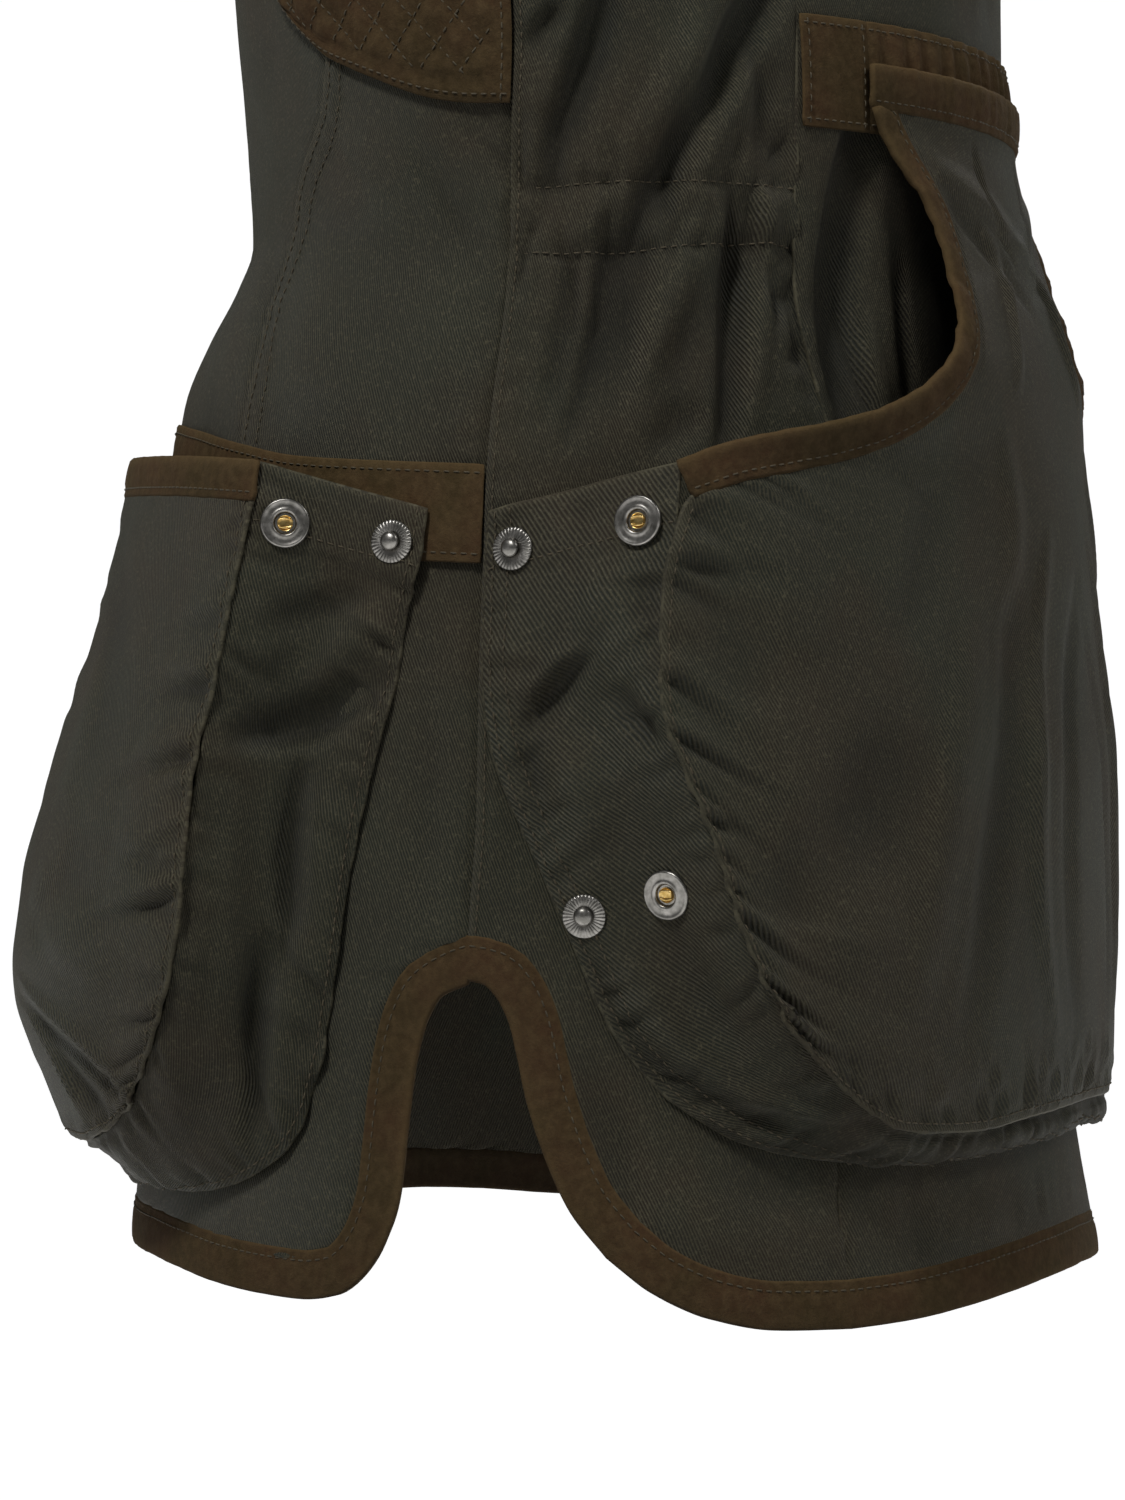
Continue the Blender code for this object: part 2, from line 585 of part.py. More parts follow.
def side_back_spots():
    """The side back panel from the vent to the shoulder, between the side seam and the back seam."""
    hem = inset(back_hem(), HEM_BINDING)
    vent, low = hem[:VENT_STEPS + 1][::-1], hem[VENT_STEPS:VENT_STEPS + SIDE_STEPS + 1]
    side = joined(run(SIDE_SEAM_LOW, 4), side_seam_high())
    vent[-1] = side[0]
    under = armhole_inner()[CHEST_STEPS + FRONT_STEPS:]
    side[-1] = under[0]
    left = joined(vent, side, under)
    seam = run(BACK_SEAM, 60)
    rise = (left[:, 1] - left[0, 1]) / (left[-1, 1] - left[0, 1])
    height = low[-1, 1] + rise * (NECK_HEIGHT - low[-1, 1])
    right = np.stack([np.interp(height, seam[:, 1], seam[:, 0]), height], -1)
    right[0] = low[-1]
    top = np.stack([np.linspace(left[-1, 0], right[-1, 0], len(low)), np.full(len(low), NECK_HEIGHT)], -1)
    return coons(low, top, left, right)


def make_back(materials):
    """The two side back panels and the centre back."""
    spots = shrink(side_back_spots(), SEAM / 2, SEAM / 2)
    first = VENT_STEPS + 4
    casing = [first + SIDE_ROWS.index(height) for height in CASING_ROWS]
    outer, inner = [], []
    for number, row in enumerate(spots):
        count = 2 * CASING_GATHERS if number in casing else SIDE_STEPS
        at = np.linspace(0, SIDE_STEPS, count + 1)
        line = np.stack([np.interp(at, range(SIDE_STEPS + 1), row[:, k]) for k in (0, 1)], -1)
        lift = folds(line[:, 0], line[:, 1])
        out, back = panel_nets(line, lift, CLOTH)
        outer.append(out)
        inner.append(back)
    wall_of_rows("side_back_left", outer, inner, materials["twill"])
    turn = np.array([-1, 1, 1])
    wall_of_rows("side_back_right", [row * turn for row in outer], [row * turn for row in inner], materials["twill"])

    left = spots[:, -1] + (SEAM / GIRTH, 0)
    right = left * (-1, 1) + (2 * math.pi, 0)
    bottom = mirrored(inset(back_hem(), HEM_BINDING)[VENT_STEPS + SIDE_STEPS:])
    bottom[0], bottom[-1] = left[0], right[0]
    nape = inset(run(NECK_BACK, NAPE_STEPS), BINDING)
    shoulder = (left[-1] + nape[-1]) / 2
    top = mirrored(np.concatenate([[left[-1], shoulder], nape[::-1]]))
    spots = coons(bottom, top, left, right)
    lift = folds(spots[..., 0], spots[..., 1])
    wall("back", *panel_nets(spots, lift, CLOTH), materials["twill"])


def strip_nets(line, inner, lift=0.0, thick=CLOTH):
    """A folded strip between a cut edge and the line where the cloth ends."""
    spots = np.stack([line, inner])
    if np.ndim(lift):
        lift = np.stack([lift, lift])
    return off_body(spots, lift + BINDING_PROUD), off_body(spots, lift - thick - BINDING_PROUD)


def make_bindings(materials):
    """Suede binding of the hem, the armholes and the neck."""
    suede = materials["suede"]
    apex = spots_of(SIDE_SEAM_LOW)[0] - (0, SEAM)
    apart = (SEAM / 2 / GIRTH, 0)
    line = run(HEM_FRONT, 18)
    inner = inset(line, HEM_BINDING - SEAM)
    line[0, 0] = inner[0, 0] = CENTRE_GAP / GIRTH
    inner[-1] = apex - apart
    line[-1] -= apart
    both_sides("hem_binding_front", *strip_nets(line, inner), suede)
    line = back_hem()
    inner = inset(line, HEM_BINDING - SEAM)
    inner[0] = apex + apart
    line[0] += apart
    wall("hem_binding_back", *strip_nets(mirrored(line), mirrored(inner)), suede)
    line = armhole()
    both_sides("armhole_binding", *strip_nets(line, inset(line, SEAM - BINDING)), suede, closed=True)
    line = neck_line()
    inner = inset(line, SEAM - BINDING)
    inner[0] = neck_inner()[0] + (0, SEAM)
    front = strip_nets(line, inner)
    line = run(NECK_BACK, NAPE_STEPS)[::-1]
    nape = strip_nets(line, inset(line, SEAM - BINDING))
    nets = []
    for one, two in zip(front, nape):
        half = np.concatenate([one, two], axis=1)
        other = flipped(half)[:, 1:-1]
        nets.append(np.concatenate([half, other], axis=1))
    wall("neck_binding", *nets, suede, closed=True)


def hip_band(turn):
    """Height of the hip band's top edge."""
    table = spots_of(HIP_BAND_TOP)
    return eased(turn, table[:, 0], table[:, 1])


def front_cover(turn, height):
    """How far what is sewn on the front stands out, which is the hip band."""
    top = hip_band(turn)
    on = (height < top) & (height > top - HIP_BAND_WIDTH)
    return np.where(on, BAND_OFF + SUEDE, 0.0)


def make_front_trim(materials):
    """Hip bands, quilted gun patches and the front placket."""
    turn = np.radians(np.linspace(HIP_BAND_TOP[0][0], HIP_BAND_TOP[-1][0], 14))
    top = hip_band(turn)
    spots = np.stack([np.stack([turn, top - HIP_BAND_WIDTH * share], -1) for share in (1, 0.5, 0)])
    both_sides("hip_band", *panel_nets(spots, BAND_OFF + SUEDE, SUEDE), materials["suede"])

    spots, rise = gun_patch()
    base = PATCH_OFF + SUEDE
    nets = panel_nets(spots, base + rise, SUEDE, np.full(rise.shape, base))
    both_sides("gun_patch", *nets, materials["suede"], quilted=True)

    height = np.concatenate([front_lower_spots()[:, 0, 1], centre_line()[1:, 1]])
    height = height[(height > PLACKET_BOTTOM + END_ROW) & (height < PLACKET_TOP - END_ROW)]
    height = np.r_[PLACKET_BOTTOM, height, PLACKET_TOP][:, None]
    wide = eased(height, BODY_TABLE[:, 0], BODY_TABLE[:, 1])
    turn = np.arcsin(PLACKET_HALF / wide) * np.linspace(-1, 1, 3)[None]
    spots = np.stack(np.broadcast_arrays(turn, height), -1)
    outer, inner = panel_nets(spots, LIFT_OFF + PLACKET_THICK, PLACKET_THICK)
    wall("placket", outer, inner, materials["twill"])
    return outer


def gun_patch():
    """The quilted patch's spots and the rise of its quilting: each diamond is high in its middle."""
    side = run(GUN_PATCH_SIDE, 12)
    arm = armhole_inner()[:CHEST_STEPS + FRONT_STEPS + 1][::-1]
    splits = FRONT_SPLITS + CHEST_SPLITS
    at = np.concatenate([[0.0]] + [k + np.linspace(0, 1, n + 1)[1:] for k, n in enumerate(splits)])
    arm = np.stack([np.interp(at, range(len(arm)), arm[:, k]) for k in (0, 1)], -1)
    arm = inset(arm, PATCH_INSET)
    side[-1] = arm[0]
    right = joined(side, arm)
    low = len(side) + sum(FRONT_SPLITS)
    heights = np.r_[np.linspace(GUN_PATCH_INNER[0][1], CHEST_ROWS[0] - 8, low)[:-1], right[low - 1:, 1] * 1000]
    left = at_heights(GUN_PATCH_INNER, heights)
    bottom = run(GUN_PATCH_BOTTOM, QUILT_COLUMNS)
    right[0], left[0] = bottom[-1], bottom[0]
    turns = np.linspace(left[-1, 0], right[-1, 0], QUILT_COLUMNS + 1)
    top = np.stack([turns, np.full(len(turns), NECK_HEIGHT)], -1)
    spots = coons(bottom, top, left, right)
    row, column = np.indices(spots.shape[:2])
    inside = (row > 0) & (row < spots.shape[0] - 1) & (column > 0) & (column < QUILT_COLUMNS)
    return spots, np.where(((row + column) % 2 == 1) & inside, QUILT_RISE, 0.0)


def gusset_nets(edge, edge_lift, base, base_lift, rows, fold):
    """The bellows strip between a pocket face's edge and its base line on the body. fold gives
    how far the strip bows in or out at a place along it and across it."""
    high = off_body(edge, edge_lift)
    low = off_body(base, base_lift)
    along = np.gradient((high + low) / 2, axis=0)
    way = np.cross(along, low - high)
    way /= np.linalg.norm(way, axis=1, keepdims=True)
    middle = (high + low).mean(axis=0) / 2
    if np.sum(way * ((high + low) / 2 - middle)) < 0:
        way = -way
    across = np.linspace(0, 1, rows + 1)[:, None]
    place = np.linspace(0, 1, len(edge))[None]
    bow = fold(place, across)[..., None]
    outer = (1 - across[..., None]) * high[None] + across[..., None] * low[None] + way[None] * bow
    return outer, outer - CLOTH * way[None]


def pocket_fold(place, across):
    """The front pocket's gusset sags in down its middle and out at its foot."""
    trough = -0.0075 * np.sin(math.pi * across) ** 2 * (0.35 + 0.65 * np.sin(math.pi * np.clip(place * 2.2, 0, 1)))
    foot = 0.0060 * np.sin(math.pi * across) * hump((place - 0.44) / 0.17)
    crease = -0.0030 * np.sin(math.pi * across) * hump((place - 0.13 + 0.04 * across) / 0.05)
    return trough + foot + crease


def pouch_fold(place, across):
    """The pouch's gusset folds in at mid height on both sides and bellies out below."""
    side = np.minimum(place, 1 - place)
    trough = -0.0060 * np.sin(math.pi * across) ** 2 * hump((side - 0.19) / 0.17)
    crease = -0.0035 * np.sin(math.pi * across) * hump((side - 0.115 + 0.03 * across) / 0.03)
    foot = 0.0050 * np.sin(math.pi * across) * hump((side - 0.42) / 0.20)
    return trough + crease + foot


def make_front_pockets(materials):
    """The two bellows pockets: face, gusset and suede mouth trim."""
    under = CLOTH + UNDERLAP
    edge = joined(run(POCKET_EDGE_REAR, 12), run(POCKET_EDGE_BOTTOM, 8), run(POCKET_EDGE_FRONT, 8))
    base = run(POCKET_BASE, 28)
    stand = near_most(front_cover, base[:, 0], base[:, 1], SHORT_REACH) + CLOTH + LIFT_OFF
    lift = pocket_lift(edge[:, 0], edge[:, 1]) - under
    nets = gusset_nets(edge, lift, base, stand, 3, pocket_fold)
    both_sides("pocket_gusset", *nets, materials["twill"])

    right = run(POCKET_EDGE_REAR, 12)[::-1]
    left = run(POCKET_EDGE_FRONT, 12)
    bottom = run(POCKET_EDGE_BOTTOM, 8)[::-1]
    top = run(POCKET_MOUTH, 8)
    left[-1], right[-1] = top[0], top[-1]
    left[-1, 1] -= POCKET_TRIM
    right[-1, 1] -= POCKET_TRIM
    spots = coons(bottom, top - (0, POCKET_TRIM), left, right)
    lift = pocket_lift(spots[..., 0], spots[..., 1])
    both_sides("pocket_face", *panel_nets(spots, lift, CLOTH), materials["twill"])

    inner = top - (0, POCKET_TRIM - SEAM)
    spots = np.stack([inner, top])
    lift = pocket_lift(spots[..., 0], spots[..., 1])
    both_sides("pocket_trim", *panel_nets(spots, lift + BINDING_PROUD, CLOTH + 2 * BINDING_PROUD), materials["suede"])
    return nets[0]


def make_pouch(materials):
    """The game pouch across the back: face, gusset, trims of its side openings and top band."""
    opening = run(POUCH_OPENING, 11)
    opening[0, 1] -= SEAM
    inner = inset(opening, TRIM)
    inner[0, 1] = opening[0, 1]
    edge_table = spots_of(POUCH_EDGE)
    front = edge_table[1:10]
    front = np.concatenate([[(inner[-1, 0], inner[-1, 1])], front[front[:, 1] < inner[-1, 1] - END_ROW]])
    front = run(front, 8)
    left = joined(inner, front)
    bottom = mirrored(run(edge_table[9:], 6))
    right = left * (-1, 1) + (2 * math.pi, 0)
    top = np.stack([np.linspace(left[0, 0], right[0, 0], len(bottom)), np.full(len(bottom), left[0, 1])], -1)
    spots = coons(bottom, top, left[::-1], right[::-1])
    lift = pouch_lift(spots[..., 0], spots[..., 1])
    wall("pouch_face", *panel_nets(spots, lift, CLOTH), materials["twill"])

    strip = inset(opening, TRIM - SEAM)
    strip[0, 1] = opening[0, 1]
    lift = np.stack([pouch_lift(opening[:, 0], opening[:, 1]), pouch_lift(strip[:, 0], strip[:, 1])])
    spots = np.stack([opening, strip])
    nets = panel_nets(spots, lift + BINDING_PROUD, CLOTH + 2 * BINDING_PROUD)
    both_sides("pouch_trim", *nets, materials["suede"])

    edge = mirrored(run(POUCH_EDGE, 20))
    base = mirrored(run(POUCH_BASE, 20))
    lift = pouch_lift(edge[:, 0], edge[:, 1]) - CLOTH - UNDERLAP
    stand = near_most(folds, base[:, 0], base[:, 1]) + CLOTH + LIFT_OFF
    gusset, inside = gusset_nets(edge, lift, base, stand, 4, pouch_fold)
    wall("pouch_gusset", gusset, inside, materials["twill"])

    turn = np.radians(np.linspace(147, 213, 19))
    low = np.stack([turn, np.full(len(turn), POUCH_TOP + SEAM)], -1)
    high = np.stack([turn, np.full(len(turn), TOP_BAND_TOP)], -1)
    spots = np.stack([low, high])
    lift = pouch_lift(spots[..., 0], spots[..., 1])
    nets = panel_nets(spots, lift + BINDING_PROUD, CLOTH + 2 * BINDING_PROUD)
    wall("pouch_top_band", *nets, materials["suede"])
    return gusset


def belt_ripple(turn):
    """The belt's gathers, where it is drawn in on its elastic."""
    start = math.radians(BELT_GATHERED)
    share = (turn - start) / (2 * math.pi - 2 * start)
    fade = np.clip(np.minimum(share, 1 - share) / 0.06, 0, 1)
    return 0.0005 * fade * (1 + np.sin(2 * math.pi * BELT_GATHERS * share))


def make_belt(materials):
    """The suede belt over the back of the waist: two plain ends and a gathered middle."""
    start, middle = math.radians(BELT_START), math.radians(BELT_GATHERED)
    for name, turns in (("belt_end_left", np.linspace(start, middle - SEAM / BELT_GIRTH, 4)),
                        ("belt_gathered", np.linspace(middle, 2 * math.pi - middle, 2 * BELT_GATHERS + 1)),
                        ("belt_end_right", 2 * math.pi - np.linspace(middle - SEAM / BELT_GIRTH, start, 4))):
        edges = [np.stack([turns, np.full(len(turns), height)], -1) for height in (BELT_BOTTOM, BELT_TOP)]
        spots = np.stack(edges)
        under = near_most(folds, spots[..., 0], spots[..., 1], SHORT_REACH) + LIFT_OFF
        ripple = belt_ripple(spots[..., 0]) if name == "belt_gathered" else 0.0
        wall(name, *panel_nets(spots, under + ripple + SUEDE, SUEDE, under + SUEDE), materials["suede"])


def spin(name, profile, place, axis, material, sides):
    """A turned piece: a profile of (radius, rise) in mm with a Screw modifier, set along an axis."""
    mesh = bpy.data.meshes.new(name)
    loop = profile[0] == profile[-1]
    points = profile[:-1] if loop else profile
    edges = [(k, (k + 1) % len(points)) for k in range(len(points) - (0 if loop else 1))]
    mesh.from_pydata([(radius / 1000, 0, rise / 1000) for radius, rise in points], edges, [])
    mesh.materials.append(material)
    thing = bpy.data.objects.new(name, mesh)
    vest.objects.link(thing)
    screw = thing.modifiers.new("turn", "SCREW")
    screw.steps = sides
    screw.render_steps = sides
    screw.use_merge_vertices = True
    screw.merge_threshold = 0.00005
    screw.use_smooth_shade = True
    thing.location = place
    thing.rotation_euler = Vector(axis).to_track_quat("Z", "X").to_euler()
    return thing


def on_net(net, along, across):
    """The point and the outward way at a place on a net, from the net's own facets."""
    rows, columns = net.shape[:2]
    row, column = across * (rows - 1), along * (columns - 1)
    i, j = min(int(row), rows - 2), min(int(column), columns - 2)
    a, b, c, d = net[i, j], net[i, j + 1], net[i + 1, j + 1], net[i + 1, j]
    s, t = column - j, row - i
    point = (1 - t) * ((1 - s) * a + s * b) + t * ((1 - s) * d + s * c)
    way = np.cross(c - a, d - b)
    return point, way / np.linalg.norm(way)


def set_snap(name, kind, point, way, materials):
    """One snap half on both sides of the vest."""
    for side, mirror in (("left", 1), ("right", -1)):
        turn = np.array([mirror, 1, 1])
        place, axis = point * turn, way * turn
        if kind == "stud":
            spin(f"{name}_{side}", SNAP_STUD, place, axis, materials["nickel"], 10)
        else:
            spin(f"{name}_{side}", SOCKET_RING, place, axis, materials["nickel"], 12)
            spin(f"{name}_spring_{side}", SOCKET_SPRING, place, axis, materials["brass"], 8)


def make_snaps(placket_net, pocket_net, pouch_net, materials):
    """The open snap halves on the gussets and the fastened snaps of the placket."""
    for net, share, table in ((pocket_net, 1.0, POCKET_SNAPS), (pouch_net, 0.5, POUCH_SNAPS)):
        for name, along, across, kind in table:
            point, way = on_net(net, along * share, across)
            if way[0] < 0:
                way = -way
            set_snap(name, kind, point + way * SNAP_STAND, way, materials)
    for number, height in enumerate(SNAP_HEIGHTS, 1):
        rows = placket_net[:, 1, 2] + NECK_HEIGHT
        up = np.interp(height, rows, np.linspace(0, 1, len(rows)))
        place, way = on_net(placket_net, 0.5, up)
        spin(f"placket_snap_{number}", SNAP_CAP, place + way * SNAP_STAND, way, materials["nickel"], 10)


def make_materials():
    """Each material's colour, roughness and metallic value."""
    looks = {
        "twill": ((0.020, 0.021, 0.016, 1), 0.75, 0.0),
        "suede": ((0.040, 0.024, 0.011, 1), 0.95, 0.0),
        "nickel": ((0.42, 0.41, 0.39, 1), 0.35, 1.0),
        "brass": ((0.52, 0.33, 0.12, 1), 0.35, 1.0),
    }
    made = {}
    for name, (colour, rough, metal) in looks.items():
        material = bpy.data.materials.new(name)
        material.use_nodes = True
        shader = material.node_tree.nodes["Principled BSDF"]
        shader.inputs["Base Color"].default_value = colour
        shader.inputs["Roughness"].default_value = rough
        shader.inputs["Metallic"].default_value = metal
        made[name] = material
    return made


for thing in list(bpy.data.objects):
    bpy.data.objects.remove(thing)
vest = bpy.data.collections.new(NAME)
bpy.context.scene.collection.children.link(vest)
paints = make_materials()
make_front(paints)
make_back(paints)
make_bindings(paints)
placket = make_front_trim(paints)
pocket = make_front_pockets(paints)
pouch = make_pouch(paints)
make_belt(paints)
make_snaps(placket, pocket, pouch, paints)
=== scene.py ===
"""The looks of a shooting vest: waxed cotton twill with suede trim, filled out as on a wearer.

Every piece of cloth is a thin wall on its solid's form. A place on the vest is a spot: its turn,
measured from the middle of the front round to the wearer's left, and its height above the waist.
A net is an array of points, row above row, each row running the way the turn grows.
"""
import math

import bpy
import numpy as np
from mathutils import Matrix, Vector


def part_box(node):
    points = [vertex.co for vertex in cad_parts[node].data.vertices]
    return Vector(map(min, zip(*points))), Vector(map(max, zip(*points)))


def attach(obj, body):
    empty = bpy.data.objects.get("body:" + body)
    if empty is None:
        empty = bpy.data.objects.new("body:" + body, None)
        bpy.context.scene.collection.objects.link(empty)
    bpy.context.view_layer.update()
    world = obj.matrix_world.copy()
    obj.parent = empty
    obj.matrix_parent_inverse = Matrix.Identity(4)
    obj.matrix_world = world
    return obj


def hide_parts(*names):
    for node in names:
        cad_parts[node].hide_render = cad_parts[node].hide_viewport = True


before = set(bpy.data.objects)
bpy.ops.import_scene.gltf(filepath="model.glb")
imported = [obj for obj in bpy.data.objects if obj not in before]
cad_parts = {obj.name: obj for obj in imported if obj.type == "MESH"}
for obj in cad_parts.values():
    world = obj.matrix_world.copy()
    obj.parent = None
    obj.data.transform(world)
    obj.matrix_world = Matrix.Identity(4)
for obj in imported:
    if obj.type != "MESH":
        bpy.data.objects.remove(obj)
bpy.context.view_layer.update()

# driving sizes, in metres
NECK_HEIGHT = 0.430
ARMPIT_HEIGHT = 0.190
NECK_HALF = 0.078
SHOULDER_SLOPE = 0.45
SHOULDER_ROUND = 3.2
GIRTH = 0.155              # metres of cloth for each radian of turn
CLOTH = 0.0015
SUEDE = 0.0012
SEAM = 0.0003
UNDER_REACH = 0.0016        # how far a panel runs on beneath its binding or its neighbour
LEAST_REACH = 0.0001        # how far it runs on where there is nothing to run under
UNDER_SINK = 0.0004         # and how far it sinks by there, to stay below the stitched groove
LIFT_OFF = 0.0005
BAND_OFF = 0.0009
PATCH_OFF = 0.0014
BINDING = 0.0125
HEM_BINDING = 0.0130
BINDING_PROUD = 0.0004
TRIM = 0.0098
PLACKET_HALF = 0.019
PLACKET_THICK = 0.0022
POUCH_TOP = 0.034
TOP_BAND_TOP = 0.0465
HIP_BAND_WIDTH = 0.0285
POCKET_TRIM = 0.0105
UNDERLAP = 0.0008
EDGE_STITCH = 0.0024       # from a sewn face's edge to its row of stitches
TRIM_STITCH = 0.0018       # the same on a narrow trim
QUILT_STITCH = 0.0030      # from one stitch to the next on the quilted patch
QUILT_PITCH = 0.0120
QUILT_LEAN = math.radians(47)
FOLD_GIRTH = 0.145         # metres of cloth for each radian of turn, where the folds lie

# the camera's place in the photograph, and its lens
PHOTO_HIGH = 1500          # pixels
CAMERA_TURN = math.radians(108)
CAMERA_AWAY = 1.6
CAMERA_HEIGHT = -0.592
CAMERA_ASIDE = 0.023
FOCAL_PIXELS = 4880
FLOOR_HEIGHT = -1.45       # a wearer's shoulders are this far above the ground

# height, half width, depth to the front, depth to the back, centre set back, all in mm
BODY = (
    (-350, 187.0, 156.0, 156.0, -3.0),
    (-305, 182.0, 155.0, 149.5, -3.0),
    (-278, 178.0, 154.0, 144.5, -3.0),
    (-200, 171.0, 151.0, 136.0, -2.0),
    (-150, 167.0, 150.0, 131.0, -1.0),
    (-90, 162.0, 149.0, 127.0, 0.0),
    (-52, 157.0, 144.0, 122.0, 0.0),
    (-31, 154.0, 135.0, 119.5, 0.0),
    (-14, 151.0, 125.5, 118.0, 0.0),
    (0, 150.0, 120.0, 118.0, 0.0),
    (40, 152.0, 120.0, 119.5, -1.0),
    (84, 156.0, 122.0, 121.5, -4.0),
    (140, 166.5, 127.0, 124.0, -5.0),
    (190, 175.0, 130.0, 125.0, -4.0),
    (260, 181.0, 129.0, 125.0, -2.0),
    (340, 182.0, 123.0, 122.0, 1.0),
    (430, 178.0, 115.0, 117.0, 4.0),
)

# seams and cut edges of the left side: turn in degrees, height in mm
SIDE_SEAM_LOW = ((92, -217), (92.6, -188), (92.2, -144), (92, -106), (92, -92))
VENT_TOP = SIDE_SEAM_LOW[0][1] / 1000
SIDE_SEAM_HIGH = ((92, -92), (92.2, -76), (92.8, -52), (93.8, -28), (94.2, 2), (94.8, 32), (96, 61),
                  (96.5, 100), (95.5, 145), (93, 177.5))
PRINCESS_SEAM = ((54.3, -83), (54.5, -62), (54.3, -45), (53, -29), (51.5, -14), (52, 0), (55.5, 14),
                 (60, 27), (63.5, 42), (64.5, 65), (64, 110), (62, 160), (60, 228))
BACK_SEAM = ((136, -318), (136, -240), (139, -120), (140, -65), (137.8, -47), (136, -26), (135.5, 0),
             (136, 40), (137, 90), (136, 190), (135, 300), (135, 430))
UPPER_JOIN = ((0, -74), (25, -74), (41, -77), (54.3, -83), (66, -88), (78, -91), (92, -92))
HEM_FRONT = ((0, -318), (14, -318), (28, -318), (40, -318), (50, -319.5), (59, -322), (67, -323.5),
             (73, -324), (77.8, -322), (81, -316), (83.4, -306), (84.8, -293), (85.2, -279),
             (85.6, -264), (86.2, -251), (87.2, -241), (89, -233.5), (92, -230.5))
HEM_VENT = ((92, -229), (94.2, -230), (96.2, -234.5), (97.8, -242), (98.9, -252), (99.8, -262),
            (101, -272), (102.6, -283), (105, -296), (109, -309.5))
HEM_SIDE = ((109, -309.5), (114, -320), (120, -327.5), (127, -331.5), (136, -332.5))
HEM_BACK = ((136, -332.5), (144, -331.5), (152, -329.5), (161, -327), (170, -325), (180, -324))
ARMHOLE_CHEST = ((60, 430), (58, 385), (55.5, 330), (55, 290), (56.5, 255), (60, 228))
ARMHOLE_FRONT = ((60, 228), (68, 206), (76, 196), (84, 191.5), (93, 190))
ARMHOLE_BACK = ((93, 190), (102, 194), (111, 204), (119, 224), (124, 255), (126, 295), (125, 340),
                (122, 390), (120, 430))
NECK_FRONT = ((0, 230), (6.5, 278), (13, 328), (19.5, 380), (26, 430))
NECK_BACK = ((180, 408), (170, 409.5), (162, 415), (156.5, 423), (154, 430))
SIDE_ROWS = (-92, -62, -34, -14.5, -4, 6.5, 26, 54, 92, 135, 177.5)
CHEST_ROWS = (228, 255, 290, 325, 358, 386, 407, 421, 430)
SHOULDER_ROWS = (190, 195, 207) + CHEST_ROWS
CHEST_STEPS, FRONT_STEPS, VENT_STEPS, SIDE_STEPS, BACK_STEPS = 8, 4, 24, 12, 6

# main folds: start turn and height, end turn and height, half width in mm, height in mm
FOLDS = (
    (112, 62, 100, 14, 13, -2.4),
    (118, 30, 106, -62, 15, -2.8),
    (124, 66, 110, -10, 12, 1.6),
    (130, -8, 116, -66, 14, -2.2),
    (133, 60, 127, 14, 10, -1.6),
    (152, 16, 158, -60, 16, 1.6),
    (166, 10, 172, -80, 18, -2.2),
    (128, 215, 146, 120, 18, -2.0),
    (150, 240, 160, 130, 20, 1.8),
    (101, 150, 118, 105, 15, -2.2),
)
# turns in degrees, then the heights in mm of the casing's upper and lower row
CASING_ROWS = ((94, 101, 110, 120, 130, 136), (5.0, 6.0, 7.5, 8.2, 8.0, 7.4),
               (-13.6, -14.0, -13.0, -11.0, -9.4, -10.2))
CASING_TOP = 0.0065
CASING_BOTTOM = -0.0145
CASING_TURNS = (94.3, 135.5)
CASING_GATHERS = 10
BELT_TOP, BELT_BOTTOM = 0.060, 0.027
BELT_START, BELT_GATHERED, BELT_GATHERS = 136.6, 147.5, 22

# how far the pouch stands off the body: height, at the middle of the back, at its edge, in mm
POUCH_LIFT = (
    (-290, 7.0, 14.0), (-275, 11.0, 20.0), (-260, 14.5, 25.0), (-240, 16.5, 29.0), (-200, 18.5, 32.0),
    (-160, 21.5, 33.0), (-120, 19.5, 32.0), (-80, 18.5, 30.0), (-50, 19.0, 28.5), (-23, 15.0, 24.0),
    (0, 10.0, 17.0), (20, 6.5, 8.5), (34, 4.6, 4.6), (60, 4.6, 4.6),
)
POUCH_OPENING = ((147, 34), (148.5, 23), (151, 12.5), (152.8, 3), (153.4, -10), (153.6, -24),
                 (152, -37), (148.5, -49), (143, -59.5), (136, -67.5), (128, -72.5), (120, -77), (114.6, -82))
POUCH_EDGE = ((114.6, -82), (114.3, -98), (113.3, -113), (112.8, -130), (112.9, -148), (114.2, -163),
              (117.3, -184), (119.4, -203), (122, -224), (126, -244), (131, -260), (136.5, -272),
              (143, -278), (152, -278.5), (163, -275.5), (180, -274))
POUCH_BASE = ((92.9, -92), (92.7, -112), (92.8, -138), (93.6, -154), (95.6, -170), (99, -188),
              (102.6, -206), (105.8, -224), (108.8, -240), (112.5, -255), (118, -268), (125, -278),
              (134, -284), (146, -286), (162, -284), (180, -283))

# front bellows pocket: height, how far its face stands off at its front edge, middle, rear edge, in mm
POCKET_LIFT = (
    (-310, 8.0, 10.0, 12.0), (-300, 11.0, 16.0, 18.0), (-288, 16.0, 23.0, 24.0), (-270, 24.0, 32.5, 30.0),
    (-258, 29.0, 38.5, 34.0), (-243, 34.0, 43.5, 37.5), (-226, 36.0, 45.5, 39.5), (-205, 36.0, 44.5, 39.5),
    (-180, 33.0, 39.0, 38.0), (-145, 27.0, 30.0, 34.0), (-120, 22.0, 23.5, 31.0), (-90, 17.0, 17.5, 26.0),
    (-70, 15.0, 15.5, 23.5),
)
POCKET_EDGE_REAR = ((68.2, -79), (68, -90), (68, -101), (67.4, -119), (67, -140), (66.4, -160),
                    (66.2, -180), (66.2, -200), (66, -218), (64.6, -237), (61.6, -255), (56.5, -271))
POCKET_EDGE_BOTTOM = ((56.5, -271), (50, -280.5), (42, -285), (34, -285), (27, -280), (22.5, -270))
